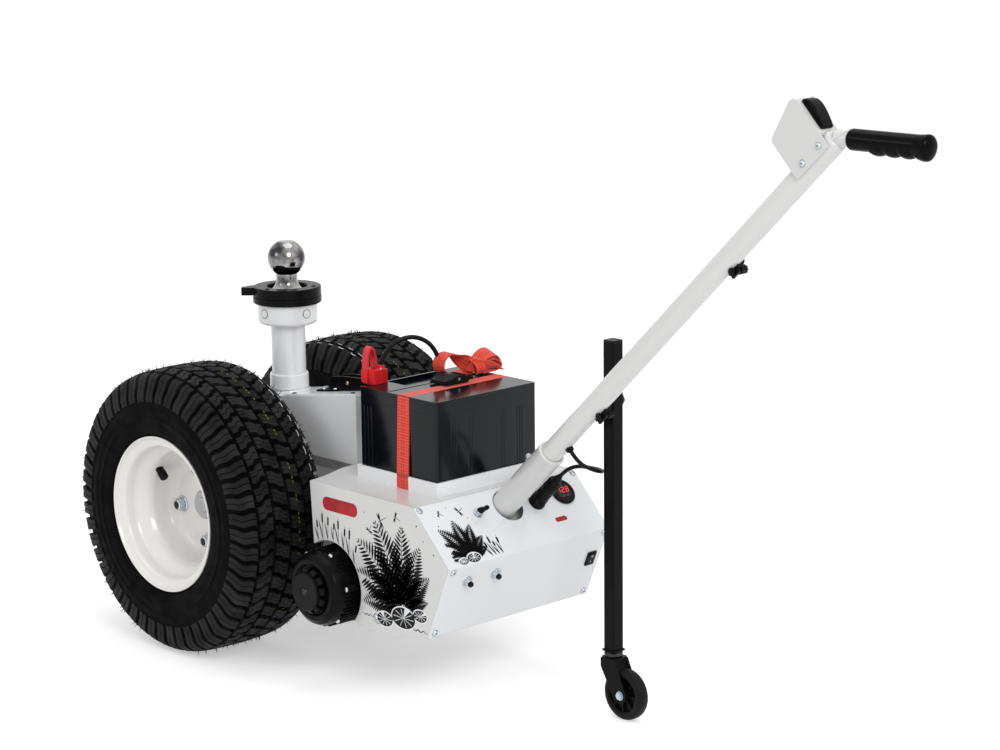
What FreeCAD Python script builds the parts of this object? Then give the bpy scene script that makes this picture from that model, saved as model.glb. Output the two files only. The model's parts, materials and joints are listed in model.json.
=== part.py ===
import FreeCAD, Part
import math
import os
import re
import Sketcher
from FreeCAD import Placement, Rotation, Vector

# Electric trailer dolly: two driven turf wheels, a ball post over the axle, a sheet-metal body
# with the battery on top, and a steering handle with a folding caster leg.
# +X runs from the axle to the hand grip, -Y is the side with the gear drum, +Z is up.
# The frame's origin is on the floor, in the middle of the overall length and width.
# All lengths are in millimetres and all angles in degrees.

doc = FreeCAD.newDocument("trailer_dolly")
sheet = doc.addObject("Spreadsheet::Sheet", "Dims")

# ---------------------------------------------------------------- driving dimensions
# Heights ("_z") are above the floor, and "_x" places are measured back from the axle.
DIMENSIONS = [
    # wheels
    ("tyre_radius", 222.7, "outside radius of a tyre, out to the tread"),
    ("tyre_width", 163.6, "width of a tyre"),
    ("wheel_track", 329.2, "between the middles of the two tyres"),
    ("tyre_wall", 9.0, "thickness of the tyre's casing"),
    ("tread_pitch", 42.0, "least spacing of the tread's blocks round the tyre"),
    ("tread_depth", 8.5, "depth of the grooves in the tread"),
    ("tread_groove", 10.0, "width of the grooves across the tread"),
    ("crown_half", 52.0, "half the span of a crown block across the tyre"),
    ("crown_skew", 4.0, "a crown block's lean round the tyre at each end"),
    ("shoulder_start", 56.0, "inner end of a shoulder block, across the tyre"),
    ("shoulder_drop", 50.0, "outer end of a shoulder block, below the tread"),
    ("rim_flange_radius", 121.7, "outside radius of the rim's flange"),
    ("rim_bead_radius", 103.0, "radius on which the tyre's beads sit"),
    ("rim_well_radius", 88.0, "radius of the rim's well"),
    ("rim_width", 156.0, "across the rim's two flanges"),
    ("rim_sheet", 3.0, "sheet thickness of the rim"),
    ("rim_disc_inset", 9.6, "the wheel disc's place, inboard of the tyre's middle"),
    ("rim_bore_radius", 23.0, "hole in the middle of the wheel disc"),
    ("hub_radius", 60.0, "flange of the hub behind the wheel disc"),
    ("hub_thickness", 12.0, "thickness of the hub's flange"),
    ("hub_barrel", 24.5, "radius of the hub's barrel"),
    ("hub_barrel_length", 20.0, "length of the hub's barrel behind its flange"),
    ("stub_radius", 12.5, "axle stub that carries a hub"),
    ("stub_gap", 0.05, "running clearance of a hub on its stub"),
    # axle housing and frame
    ("housing_radius", 38.0, "round housing across the axle"),
    ("housing_half", 70.0, "half the width of the axle housing"),
    ("frame_half_width", 45.0, "half the width of the narrow frame box"),
    ("frame_sheet", 4.0, "sheet thickness of the frame box"),
    ("frame_front_x", -42.0, "front end of the frame box"),
    ("frame_rear_x", 236.0, "rear end of the frame box"),
    ("frame_bottom_z", 305.0, "underside of the frame box"),
    ("frame_top_z", 382.7, "top of the frame box at the ball post"),
    ("frame_slope", 8.6, "rise of the frame box's top to the rear"),
    # ball post
    ("post_x", 24.5, "axis of the ball post"),
    ("post_radius", 26.8, "ball post's tube"),
    ("post_tube_wall", 5.0, "wall of the ball post's tube"),
    ("collar_radius", 30.5, "collar around the foot of the post"),
    ("collar_top_z", 414.0, "top of the collar"),
    ("cup_bottom_z", 487.5, "underside of the cup on the post"),
    ("cup_radius", 46.5, "cup that carries the lock ring"),
    ("ring_bottom_z", 521.5, "underside of the lock ring's lower plate"),
    ("ring_plate", 15.5, "thickness of each of the lock ring's two plates"),
    ("ring_radius", 53.8, "outside radius of the lock ring"),
    ("ring_bore_radius", 31.5, "hole in the lock ring"),
    ("ring_lever_reach", 71.0, "lever tab's end, from the post's axis"),
    ("ring_lever_width", 32.0, "width of the lever tab at the ring"),
    ("ring_lever_tip", 11.0, "width of the lever tab at its end"),
    ("ring_lever_front", 14.0, "straight edge of the lever tab, from its middle line"),
    ("ring_lever_angle", 226.0, "direction of the lever tab about the post, in degrees from +X"),
    ("ball_centre_z", 596.0, "middle of the hitch ball"),
    ("ball_radius", 29.37, "hitch ball of 2 5/16 in"),
    ("ball_flat_above", 26.4, "flat top of the ball above its middle"),
    ("ball_neck_radius", 16.7, "neck under the ball"),
    ("ball_collar_radius", 28.0, "seat flange of the ball on the lock ring"),
    ("ball_collar_z", 547.5, "top of the ball's seat flange"),
    # body
    ("body_half_width", 161.4, "half the width of the body"),
    ("body_sheet", 3.0, "sheet thickness of the body"),
    ("body_top_z", 308.4, "top of the body"),
    ("body_floor_z", 106.5, "underside of the body"),
    ("body_front_x", 264.5, "front end of the body's sides"),
    ("body_nose_x", 237.0, "front end of the body's top at the frame"),
    ("body_top_rear_x", 495.5, "rear end of the body's top"),
    ("panel_upper_height", 107.5, "upper rear panel, along its slope"),
    ("panel_lower_height", 121.0, "lower rear panel, along its slope"),
    ("panel_lower_lean", 23.2, "lower rear panel's lean from upright"),
    ("floor_rear_x", 437.0, "rear end of the flat floor"),
    ("floor_front_x", 371.7, "front end of the flat floor at the sides"),
    ("notch_radius", 68.0, "round notch in a body side around the gear drum"),
    ("drum_x", 308.0, "axis of the gear drum"),
    ("drum_z", 156.0, "height of the gear drum's axis"),
    # battery
    ("tray_front_x", 301.4, "front of the battery tray"),
    ("tray_length", 175.6, "length of the battery tray"),
    ("tray_width", 208.6, "width of the battery tray"),
    ("tray_sheet", 3.0, "sheet thickness of the battery tray"),
    ("tray_top_z", 328.9, "rim of the battery tray"),
    ("battery_side_y", 5.0, "the battery's offset towards +Y"),
    ("battery_length", 168.0, "length of the battery along X"),
    ("battery_width", 200.0, "width of the battery along Y"),
    ("battery_height", 200.0, "height of the battery"),
    ("battery_top_z", 447.4, "top of the battery"),
    ("lid_height", 20.0, "height of the battery's lid"),
    ("well_start", 4.0, "terminal well in the lid, behind the battery's front"),
    ("well_length", 48.0, "length of the terminal well"),
    ("well_width", 100.0, "width of the terminal well"),
    ("well_depth", 6.0, "depth of the terminal well"),
    ("terminal_x", 345.0, "place of the lead's terminal in the well"),
    ("terminal_side_y", 32.0, "the lead's terminal, across"),
    ("terminal_radius", 9.0, "boot on the lead's terminal"),
    ("terminal_top_z", 458.0, "top of the terminal's boot"),
    ("connector_x", 292.0, "front of the power connector on the battery"),
    ("connector_side_y", -61.5, "middle of the power connector, across"),
    ("connector_length", 26.0, "length of the power connector along X"),
    ("connector_width", 39.0, "width of the power connector"),
    ("connector_height", 26.0, "height of the power connector"),
    ("loop_height", 30.0, "pull loop above the power connector"),
    ("loop_span", 17.0, "outside width of the pull loop"),
    ("loop_sheet", 4.0, "thickness of the pull loop"),
    ("loop_width", 9.0, "width of the pull loop's band"),
    ("strap_middle_x", 402.0, "middle of the battery strap"),
    ("strap_width", 25.0, "webbing of the battery strap"),
    ("strap_thickness", 1.8, "thickness of the battery strap"),
    ("strap_gap", 0.3, "the strap's ends stand this far outside the tray"),
    ("buckle_x", 365.0, "front of the strap's buckle"),
    ("buckle_length", 40.0, "buckle along X"),
    ("buckle_width", 50.0, "buckle across"),
    ("buckle_height", 13.0, "height of the buckle"),
    ("buckle_side_y", 12.0, "middle of the buckle, across"),
    ("bow_x", 356.0, "front of the tied webbing"),
    ("bow_side_y", 82.0, "the bow's knot, across"),
    ("bow_loop", 44.0, "length of each loop of the bow"),
    ("bow_height", 24.0, "height of a loop of the bow"),
    ("tail_x", 331.0, "front of the bow's loose tail"),
    ("tail_length", 78.0, "length of the bow's loose tail"),
    ("lead_radius", 3.5, "lead from the connector to the battery"),
    ("latch_x", 111.0, "front of the latch bracket's foot"),
    ("latch_foot_length", 50.0, "length of the latch bracket's foot"),
    ("latch_foot_width", 34.0, "width of the latch bracket's foot"),
    ("latch_foot_height", 5.0, "thickness of the latch bracket's foot"),
    ("latch_body_start", 27.0, "upright of the latch bracket, behind its front"),
    ("latch_body_length", 92.0, "length of the latch bracket's upright"),
    ("latch_body_width", 26.0, "width of the latch bracket's upright"),
    ("latch_body_height", 20.0, "height of the latch bracket's upright"),
    # gear drum and motor
    ("drum_radius", 61.5, "outside radius of the gear drum"),
    ("drum_rib", 3.0, "ribs and bolt lobes above the drum's casting"),
    ("drum_rib_width", 3.0, "width of a rib on the gear drum"),
    ("drum_lobe_radius", 7.0, "bolt lobe on the gear drum"),
    ("drum_flange", 8.0, "flange of the gear drum at the body"),
    ("drum_nose", 18.0, "bare end of the gear drum under the knob"),
    ("drum_outer_y", 200.0, "outer face of the gear drum, from the middle"),
    ("drum_inner_y", 120.0, "inner face of the gear drum, from the middle"),
    ("knob_radius", 30.0, "clutch knob on the gear drum"),
    ("knob_disc", 5.0, "thickness of the clutch knob's disc"),
    ("knob_tooth", 6.0, "height of a grip tooth of the clutch knob"),
    ("knob_tooth_width", 5.0, "width of a grip tooth at its root"),
    ("knob_outer_y", 214.0, "outer face of the clutch knob, from the middle"),
    ("motor_radius", 50.0, "drive motor"),
    ("motor_end_y", 178.0, "outer end of the drive motor, from the middle"),
    # handle
    ("handle_angle", 43.75, "rise of the handle above level"),
    ("handle_foot_x", 515.7, "where the handle's axis meets the upper rear panel"),
    ("handle_foot_z", 288.2, "height of that point"),
    ("socket_radius", 20.6, "outside radius of the handle's socket"),
    ("socket_length", 135.0, "handle socket outside the panel"),
    ("socket_depth", 26.0, "handle socket inside the body"),
    ("slot_radius", 26.0, "hole in the upper panel around the socket"),
    ("slot_lower", 3.2, "the hole's middle, below the handle's axis"),
    ("slot_side_y", 4.0, "the hole's middle, across"),
    ("mount_sheet", 4.0, "cross plate that carries the socket inside the body"),
    ("mount_above", 17.0, "cross plate above the handle's axis"),
    ("mount_below", 34.0, "cross plate below the handle's axis"),
    ("lock_pin_s", 90.0, "locking button, along the handle from the panel"),
    ("lock_pin_radius", 4.5, "locking button on the socket"),
    ("lock_pin_height", 7.0, "locking button above the socket"),
    ("handle_radius", 15.9, "outside radius of the handle tube"),
    ("handle_wall", 2.5, "wall of the handle tube"),
    ("handle_length", 848.0, "from the panel to the handle's upper end"),
    ("grip_radius", 14.5, "hand grip"),
    ("grip_stub_length", 26.0, "bare stub between handle and grip"),
    ("grip_length", 142.0, "length of the hand grip"),
    ("grip_rise", 3.5, "the grip's rise above level"),
    ("grip_core_radius", 11.0, "tube inside the hand grip"),
    ("grip_end_radius", 17.0, "flared end of the hand grip"),
    ("grip_end_length", 9.0, "length of the flared end"),
    ("finger_pitch", 25.0, "spacing of the finger bumps under the grip"),
    ("finger_radius", 10.5, "radius of a finger bump"),
    ("finger_reach", 18.0, "finger bumps below the grip's axis"),
    ("finger_width", 14.0, "finger bumps across"),
    ("box_end_gap", 6.0, "switch box's upper end, before the handle's end"),
    ("box_length", 69.0, "length of the switch box along the handle"),
    ("box_low_height", 59.0, "switch box above the handle's axis at its lower end"),
    ("box_high_height", 80.0, "switch box above the handle's axis at its upper end"),
    ("box_half_width", 19.0, "half the width of the switch box"),
    ("box_sheet", 2.0, "sheet thickness of the switch box"),
    ("rocker_inset", 4.0, "thumb switch below the switch box's top"),
    ("rocker_length", 56.0, "length of the thumb switch"),
    ("rocker_height", 9.0, "thumb switch above the switch box"),
    ("rocker_width", 24.0, "width of the thumb switch"),
    # caster leg
    ("leg_side_y", 36.0, "the leg's offset towards +Y"),
    ("leg_size", 20.0, "side of the leg's square tube"),
    ("leg_pivot_s", 255.0, "leg's hinge, along the handle from the panel"),
    ("leg_stub", 87.0, "leg tube beyond its hinge"),
    ("leg_clip_s", 594.0, "storage clip, along the handle from the panel"),
    ("clamp_wall", 4.0, "wall of a clamp round the handle"),
    ("clamp_knob_radius", 6.5, "hand knob of a clamp"),
    ("clamp_knob_below", 19.0, "hand knob below the handle's axis"),
    ("clamp_knob_end", 20.0, "outer end of a hand knob, across"),
    ("pivot_radius", 5.0, "hinge bolt of the leg"),
    ("pivot_gap", 0.05, "running clearance at the hinge bolt"),
    ("caster_radius", 37.5, "caster wheel"),
    ("caster_width", 20.0, "width of the caster wheel"),
    ("caster_trail", 25.0, "the caster's axle behind its swivel"),
    ("caster_pin_radius", 4.0, "caster wheel's axle"),
    ("fork_sheet", 2.5, "sheet thickness of the caster's fork"),
    ("fork_gap", 1.5, "gap beside the caster wheel"),
    ("fork_top_gap", 12.0, "gap between the fork's top and the caster wheel"),
    ("swivel_height", 8.0, "swivel bearing above the fork"),
    ("swivel_radius", 13.5, "swivel bearing"),
    # controls
    ("toggle_side_y", -57.8, "direction switch on the upper panel, across"),
    ("toggle_down", 32.3, "direction switch, down the upper panel"),
    ("meter_side_y", 114.5, "voltmeter on the upper panel, across"),
    ("meter_down", 32.9, "voltmeter, down the upper panel"),
    ("meter_radius", 21.0, "voltmeter's bezel"),
    ("plug_side_y", 57.0, "lead's outlet on the upper panel, across"),
    ("plug_down", 38.0, "lead's outlet, down the upper panel"),
    ("plug_length", 70.0, "length of the lead's plug"),
    ("plug_radius", 11.0, "body of the lead's plug"),
    ("plug_flange", 13.5, "ring at the foot of the lead's plug"),
    ("plug_neck", 6.5, "strain relief of the lead's plug"),
    ("handle_lead_radius", 3.0, "lead from the panel to the handle"),
    ("grommet_s", 168.0, "the lead's grommet, along the handle from the panel"),
    ("grommet_radius", 6.0, "grommet under the handle tube"),
    ("grommet_reach", 21.0, "the grommet's end, from the handle's axis"),
    ("breaker_down", 29.5, "push-button breakers, down the lower panel"),
    ("breaker_one_y", -118.0, "first breaker, across"),
    ("breaker_two_y", -62.5, "second breaker, across"),
    ("rocker_down", 50.7, "power rocker, down the lower panel"),
    ("rocker_side_y", 141.0, "power rocker, across"),
]
for row, (alias, value, note) in enumerate(DIMENSIONS, start=1):
    sheet.set("A%d" % row, note)
    sheet.set("B%d" % row, str(value))
    sheet.setAlias("B%d" % row, alias)
doc.recompute()

NAMES = sorted((alias for alias, value, note in DIMENSIONS), key=len, reverse=True)
NAME_PATTERN = re.compile(r"\b(%s)\b" % "|".join(NAMES))


def cells(text):
    """The formula with each dimension's name pointed at its cell."""
    return NAME_PATTERN.sub(r"Dims.\1", str(text))


def value_of(text):
    """The formula's number."""
    result = sheet.evalExpression(cells(text))
    return float(getattr(result, "Value", result))


# ---------------------------------------------------------------- derived formulas
COS_H = "cos(handle_angle * 1 deg)"
SIN_H = "sin(handle_angle * 1 deg)"
GRIP_REACH = "(grip_stub_length + grip_length) * cos(grip_rise * 1 deg)"
REACH = "(handle_foot_x + handle_length * %s + %s)" % (COS_H, GRIP_REACH)
AXLE_X = "(tyre_radius - %s) / 2" % REACH
AXLE_Z = "tyre_radius"
KNEE_X = "(body_top_rear_x + panel_upper_height * %s)" % SIN_H
KNEE_Z = "(body_top_z - panel_upper_height * %s)" % COS_H
HEEL_X = "(%s - panel_lower_height * sin(panel_lower_lean * 1 deg))" % KNEE_X
HEEL_Z = "(%s - panel_lower_height * cos(panel_lower_lean * 1 deg))" % KNEE_Z
HANDLE_TILT = "90 - handle_angle"
RING_TOP_Z = "(ring_bottom_z + 2 * ring_plate)"
TREAD_COUNT = "(4 * floor(pi * tyre_radius / (2 * tread_pitch)))"
TREAD_HALF_TURN = "(180 / %s)" % TREAD_COUNT


def x_at(text):
    """A place measured back from the axle, as a place in the frame."""
    return "%s + %s" % (AXLE_X, text)


# ---------------------------------------------------------------- building helpers
PARTS = []


def finish(obj, label):
    """Give a finished sub-part the label that names its file."""
    obj.Label = label
    if obj.Label != label:
        raise RuntimeError("the label %s is taken" % label)
    PARTS.append(obj)
    return obj


def place(obj, x="0", y="0", z="0", tilt=None):
    """Put an object at formulas, tilted about Y from upright by a formula in degrees."""
    if tilt is not None:
        obj.Placement = Placement(Vector(), Rotation(Vector(0, 1, 0), value_of(tilt)))
        obj.setExpression("Placement.Rotation.Angle", cells("(%s) * 1 deg" % tilt))
    obj.setExpression("Placement.Base.x", cells(x))
    obj.setExpression("Placement.Base.y", cells(y))
    obj.setExpression("Placement.Base.z", cells(z))
    return obj


def place_on_handle(obj, along, above="0", side="0"):
    """Put an object whose own Z runs up the handle at a distance from the upper panel."""
    x = x_at("handle_foot_x + (%s) * %s - (%s) * %s" % (along, COS_H, above, SIN_H))
    z = "handle_foot_z + (%s) * %s + (%s) * %s" % (along, SIN_H, above, COS_H)
    return place(obj, x, side, z, tilt=HANDLE_TILT)


def plane_of(body, role):
    return [o for o in body.Origin.OriginFeatures if o.Role == role][0]


def outline(body, name, role, points, lift=None):
    """A closed sketch of straight lines, each corner held by its two formulas.
    Its plane may be lifted by a formula."""
    sketch = body.newObject("Sketcher::SketchObject", name)
    sketch.AttachmentSupport = (plane_of(body, role), [""])
    sketch.MapMode = "FlatFace"
    if lift is not None:
        sketch.setExpression("AttachmentOffset.Base.z", cells(lift))
    places = [Vector(value_of(u), value_of(v), 0) for u, v in points]
    count = len(points)
    for i in range(count):
        sketch.addGeometry(Part.LineSegment(places[i], places[(i + 1) % count]), False)
    for i in range(count):
        sketch.addConstraint(Sketcher.Constraint("Coincident", i, 2, (i + 1) % count, 1))
    for i, (u, v) in enumerate(points):
        for axis, text, number in (("DistanceX", u, places[i].x), ("DistanceY", v, places[i].y)):
            index = sketch.addConstraint(Sketcher.Constraint(axis, -1, 1, i, 1, number))
            sketch.setExpression("Constraints[%d]" % index, cells(text))
    return sketch


def new_body(name):
    return doc.addObject("PartDesign::Body", name)


def turned(name, points, axis="V_Axis"):
    """A body of revolution: (radius, height) points about the upright axis,
    or (across, radius) points about the wheel axis."""
    body = new_body(name)
    role = "XZ_Plane" if axis == "V_Axis" else "YZ_Plane"
    sketch = outline(body, name + "_profile", role, points)
    turn = body.newObject("PartDesign::Revolution", name + "_turn")
    turn.Profile = sketch
    turn.ReferenceAxis = (sketch, [axis])
    turn.Angle = 360
    body.Tip = turn
    return body


def pad(body, sketch, name, length):
    """Raise a sketch of a body by a formula."""
    raised = body.newObject("PartDesign::Pad", name)
    raised.Profile = sketch
    raised.Length = value_of(length)
    raised.setExpression("Length", cells(length))
    body.Tip = raised
    return raised


def repeat_round(body, name, features, axis, count):
    """Repeat features of a body evenly round an axis."""
    ring = body.newObject("PartDesign::PolarPattern", name)
    ring.Originals = features
    ring.Axis = axis
    ring.Angle = 360
    ring.Occurrences = int(value_of(count))
    ring.setExpression("Occurrences", cells(count))
    body.Tip = ring
    return ring


def slab(name, points, width, role="XZ_Plane"):
    """A side outline given a width, evenly to both sides of its plane."""
    body = new_body(name)
    sketch = outline(body, name + "_outline", role, points)
    pad = body.newObject("PartDesign::Pad", name + "_pad")
    pad.Profile = sketch
    pad.SideType = "Symmetric"
    pad.Length = value_of(width)
    pad.setExpression("Length", cells(width))
    body.Tip = pad
    return body


def block(name, length, width, height, x="0", y="0", z="0", tilt=None):
    """A box that starts at x and z and is centred across y."""
    box = doc.addObject("Part::Box", name)
    box.setExpression("Length", cells(length))
    box.setExpression("Width", cells(width))
    box.setExpression("Height", cells(height))
    return place(box, x, "(%s) - (%s) / 2" % (y, width), z, tilt)


def rod(name, radius, length, x="0", y="0", z="0", along="Z"):
    """A round bar that starts at its place and runs along an axis of the frame."""
    bar = doc.addObject("Part::Cylinder", name)
    bar.setExpression("Radius", cells(radius))
    bar.setExpression("Height", cells(length))
    turn = {"Z": Rotation(), "Y": Rotation(Vector(1, 0, 0), -90), "X": Rotation(Vector(0, 1, 0), 90)}
    bar.Placement = Placement(Vector(), turn[along])
    return place(bar, x, y, z)


def sloped_rod(name, radius, length, along, above="0", side="0"):
    """A round bar that runs up the handle."""
    bar = doc.addObject("Part::Cylinder", name)
    bar.setExpression("Radius", cells(radius))
    bar.setExpression("Height", cells(length))
    return place_on_handle(bar, along, above, side)


def cut(name, base, tool):
    result = doc.addObject("Part::Cut", name)
    result.Base = base
    result.Tool = tool
    return result


def fuse(name, pieces):
    result = doc.addObject("Part::MultiFuse", name)
    result.Shapes = pieces
    return result


# ---------------------------------------------------------------- wheels
def tyre(name):
    """A hollow casing of flat facets, one to a pitch, with crown and shoulder blocks."""
    half = "tyre_width / 2"
    rim_half = "rim_width / 2"
    floor_radius = "(tyre_radius - tread_depth)"
    side_points = [
        ("%s - 14" % rim_half, "rim_bead_radius"),
        ("%s - 4" % rim_half, "rim_bead_radius"),
        ("%s - 4" % rim_half, "rim_flange_radius + 0.5"),
        (half, "tyre_radius - shoulder_drop"),
        ("%s - 16" % half, floor_radius),
    ]
    inner_points = [
        ("%s - 16 - 1.5 * tyre_wall" % half, "%s - 1.5 * tyre_wall" % floor_radius),
        ("%s - tyre_wall" % half, "tyre_radius - shoulder_drop"),
    ]
    section = ([("-(%s)" % y, z) for y, z in side_points] + side_points[::-1]
               + inner_points[::-1] + [("-(%s)" % y, z) for y, z in inner_points])
    reach = "(tyre_radius * 1.1)"
    spread = "%s * tan(%s * 1 deg)" % (reach, TREAD_HALF_TURN)
    bar = slab(name + "_bar", section, "2 * %s" % spread, role="YZ_Plane")
    sector = slab(name + "_sector", [("0", "0"), ("-%s" % spread, reach), (spread, reach)],
                  "tyre_width + 2", role="XZ_Plane")
    wedge = doc.addObject("Part::Common", name + "_wedge")
    wedge.Base = bar
    wedge.Tool = sector
    lug_half = "(pi * tyre_radius / %s - tread_groove / 2)" % TREAD_COUNT
    crown = slab(name + "_crown", [
        ("-%s - crown_skew" % lug_half, "-crown_half"),
        ("%s - crown_skew" % lug_half, "-crown_half"),
        ("%s + crown_skew" % lug_half, "crown_half"),
        ("-%s + crown_skew" % lug_half, "crown_half"),
    ], "2 * tread_depth", role="XY_Plane")
    pieces = [place(wedge, tilt=TREAD_HALF_TURN), place(crown, z=floor_radius)]
    for end, sign in (("far", ""), ("near", "-")):
        shoulder = slab("%s_%s_shoulder" % (name, end), [
            ("%s(shoulder_start)" % sign, "%s - 5" % floor_radius),
            ("%s(shoulder_start)" % sign, "tyre_radius - 3"),
            ("%s(%s - 9)" % (sign, half), "tyre_radius - 10"),
            ("%s(%s)" % (sign, half), "tyre_radius - shoulder_drop"),
        ], "2 * %s" % lug_half, role="YZ_Plane")
        pieces.append(place(shoulder, tilt=TREAD_HALF_TURN))
    pitch = fuse(name + "_pitch", pieces)
    copies = []
    for number in range(int(value_of(TREAD_COUNT))):
        copy = doc.addObject("App::Link", "%s_copy_%d" % (name, number))
        copy.LinkedObject = pitch
        copies.append(place(copy, tilt="%d * 360 / %s" % (number, TREAD_COUNT)))
    ring = fuse(name, copies)
    ring.Refine = True
    return ring


def wheel(side_name, side):
    """One wheel: its tyre, its dished rim and its hub. side is -1 or 1."""
    rim_half = "rim_width / 2"
    middle_y = "%d * wheel_track / 2" % side
    casing = tyre("tyre_%s_casing" % side_name)
    finish(place(casing, AXLE_X, middle_y, AXLE_Z), "tyre_" + side_name)

    disc_y = "%d * rim_disc_inset" % -side
    sheet_in = "rim_sheet"
    barrel = turned("barrel_" + side_name, [
        ("-(%s)" % rim_half, "rim_flange_radius - %s" % sheet_in),
        ("-(%s)" % rim_half, "rim_flange_radius"),
        ("-(%s) + 3" % rim_half, "rim_flange_radius"),
        ("-(%s) + 3.5" % rim_half, "rim_bead_radius - 0.4"),
        ("-(%s) + 26" % rim_half, "rim_bead_radius - 0.4"),
        ("-(%s) + 34" % rim_half, "rim_well_radius"),
        ("%s - 34" % rim_half, "rim_well_radius"),
        ("%s - 26" % rim_half, "rim_bead_radius - 0.4"),
        ("%s - 3.5" % rim_half, "rim_bead_radius - 0.4"),
        ("%s - 3" % rim_half, "rim_flange_radius"),
        (rim_half, "rim_flange_radius"),
        (rim_half, "rim_flange_radius - %s" % sheet_in),
        ("%s - 1" % rim_half, "rim_bead_radius - 0.4 - %s" % sheet_in),
        ("%s - 27" % rim_half, "rim_bead_radius - 0.4 - %s" % sheet_in),
        ("%s - 35" % rim_half, "rim_well_radius - %s" % sheet_in),
        ("-(%s) + 35" % rim_half, "rim_well_radius - %s" % sheet_in),
        ("-(%s) + 27" % rim_half, "rim_bead_radius - 0.4 - %s" % sheet_in),
        ("-(%s) + 1" % rim_half, "rim_bead_radius - 0.4 - %s" % sheet_in),
    ], axis="H_Axis")
    place(barrel, AXLE_X, middle_y, AXLE_Z)
    disc = turned("disc_" + side_name, [
        ("%s - rim_sheet / 2" % disc_y, "rim_bore_radius"),
        ("%s + rim_sheet / 2" % disc_y, "rim_bore_radius"),
        ("%s + rim_sheet / 2" % disc_y, "rim_well_radius - rim_sheet / 2"),
        ("%s - rim_sheet / 2" % disc_y, "rim_well_radius - rim_sheet / 2"),
    ], axis="H_Axis")
    place(disc, AXLE_X, middle_y, AXLE_Z)
    finish(fuse("rim_" + side_name, [barrel, disc]), "rim_" + side_name)

    inner = "%s + %d * rim_sheet / 2" % (disc_y, -side)
    hub = turned("hub_" + side_name, [
        ("%s" % inner, "stub_radius + stub_gap"),
        ("%s" % inner, "hub_radius"),
        ("%s + %d * hub_thickness" % (inner, -side), "hub_radius"),
        ("%s + %d * hub_thickness" % (inner, -side), "hub_barrel"),
        ("%s + %d * (hub_thickness + hub_barrel_length)" % (inner, -side), "hub_barrel"),
        ("%s + %d * (hub_thickness + hub_barrel_length)" % (inner, -side),
         "stub_radius + stub_gap"),
    ], axis="H_Axis")
    finish(place(hub, AXLE_X, middle_y, AXLE_Z), "hub_" + side_name)


wheel("left", 1)
wheel("right", -1)

# The axle stubs stand out of the round housing and carry the hubs.
STUB_HALF = "(wheel_track / 2 - rim_disc_inset + 8)"
stub = rod("axle_stub", "stub_radius", "2 * %s" % STUB_HALF, AXLE_X, "-%s" % STUB_HALF, AXLE_Z, "Y")
finish(stub, "axle_shaft")
housing_round = rod("housing_round", "housing_radius", "2 * housing_half",
                    AXLE_X, "-housing_half", AXLE_Z, "Y")
housing_bore = rod("housing_bore", "stub_radius", "2 * housing_half + 2",
                   AXLE_X, "-housing_half - 1", AXLE_Z, "Y")
housing_neck = block("housing_neck", "70", "2 * frame_half_width - 20",
                     "frame_bottom_z - tyre_radius", "%s - 35" % AXLE_X, "0", AXLE_Z)
housing_solid = fuse("housing_solid", [housing_round, housing_neck])
finish(cut("axle_housing_cut", housing_solid, housing_bore), "axle_housing")

# ---------------------------------------------------------------- frame box
FRAME_RISE = "tan(frame_slope * 1 deg)"


def frame_top(x):
    return "frame_top_z + (%s - post_x) * %s" % (x, FRAME_RISE)


def frame_outline(inset):
    front = "(frame_front_x + %s)" % inset
    rear = "(frame_rear_x - %s)" % inset
    return [
        (front, "frame_bottom_z + %s" % inset),
        (rear, "frame_bottom_z + %s" % inset),
        (rear, "%s - %s" % (frame_top(rear), inset)),
        (front, "%s - %s" % (frame_top(front), inset)),
    ]


frame_outer = place(slab("frame_outer", frame_outline("0"), "2 * frame_half_width"), AXLE_X)
frame_inner = place(slab("frame_inner", frame_outline("frame_sheet"),
                         "2 * (frame_half_width - frame_sheet)"), AXLE_X)
finish(cut("frame_shell", frame_outer, frame_inner), "frame_box")

# The chain case joins the axle housing to the drive inside the body.
chain_case = slab("chain_case_solid", [
    ("housing_radius - 4", "tyre_radius - 34"),
    ("body_nose_x - 1", "drum_z - 30"),
    ("body_nose_x - 1", "frame_bottom_z - 22"),
    ("housing_radius + 12", "frame_bottom_z - 22"),
    ("housing_radius - 4", "tyre_radius + 34"),
], "2 * frame_half_width - 30")
place(chain_case, AXLE_X)
finish(cut("chain_case_cut", chain_case, housing_solid), "chain_case")

# ---------------------------------------------------------------- ball post
POST_X = x_at("post_x")
collar = turned("collar", [
    ("0", "frame_top_z - 6"),
    ("collar_radius", "frame_top_z - 6"),
    ("collar_radius", "collar_top_z - 2"),
    ("collar_radius - 2", "collar_top_z"),
    ("0", "collar_top_z"),
])
place(collar, POST_X)
collar_top = cut("collar_over_frame", collar, frame_outer)
tube_hole = rod("collar_bore", "post_radius", "100", POST_X, "0", "collar_top_z - 25")
finish(cut("collar_hollow", collar_top, tube_hole), "post_collar")

post = turned("post", [
    ("post_radius - post_tube_wall", "collar_top_z - 25"),
    ("post_radius", "collar_top_z - 25"),
    ("post_radius", "cup_bottom_z"),
    ("post_radius - post_tube_wall", "cup_bottom_z"),
])
finish(place(post, POST_X), "ball_post")

cup = turned("cup", [
    ("0", "cup_bottom_z"),
    ("cup_radius - 9", "cup_bottom_z"),
    ("cup_radius", "cup_bottom_z + 9"),
    ("cup_radius", "ring_bottom_z"),
    ("0", "ring_bottom_z"),
])
finish(place(cup, POST_X), "ball_cup")

lower_ring = turned("lower_ring", [
    ("ring_bore_radius", "ring_bottom_z"),
    ("ring_radius - 1.5", "ring_bottom_z"),
    ("ring_radius", "ring_bottom_z + 1.5"),
    ("ring_radius", "ring_bottom_z + ring_plate"),
    ("ring_bore_radius", "ring_bottom_z + ring_plate"),
])
finish(place(lower_ring, POST_X), "lock_ring_lower")

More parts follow.
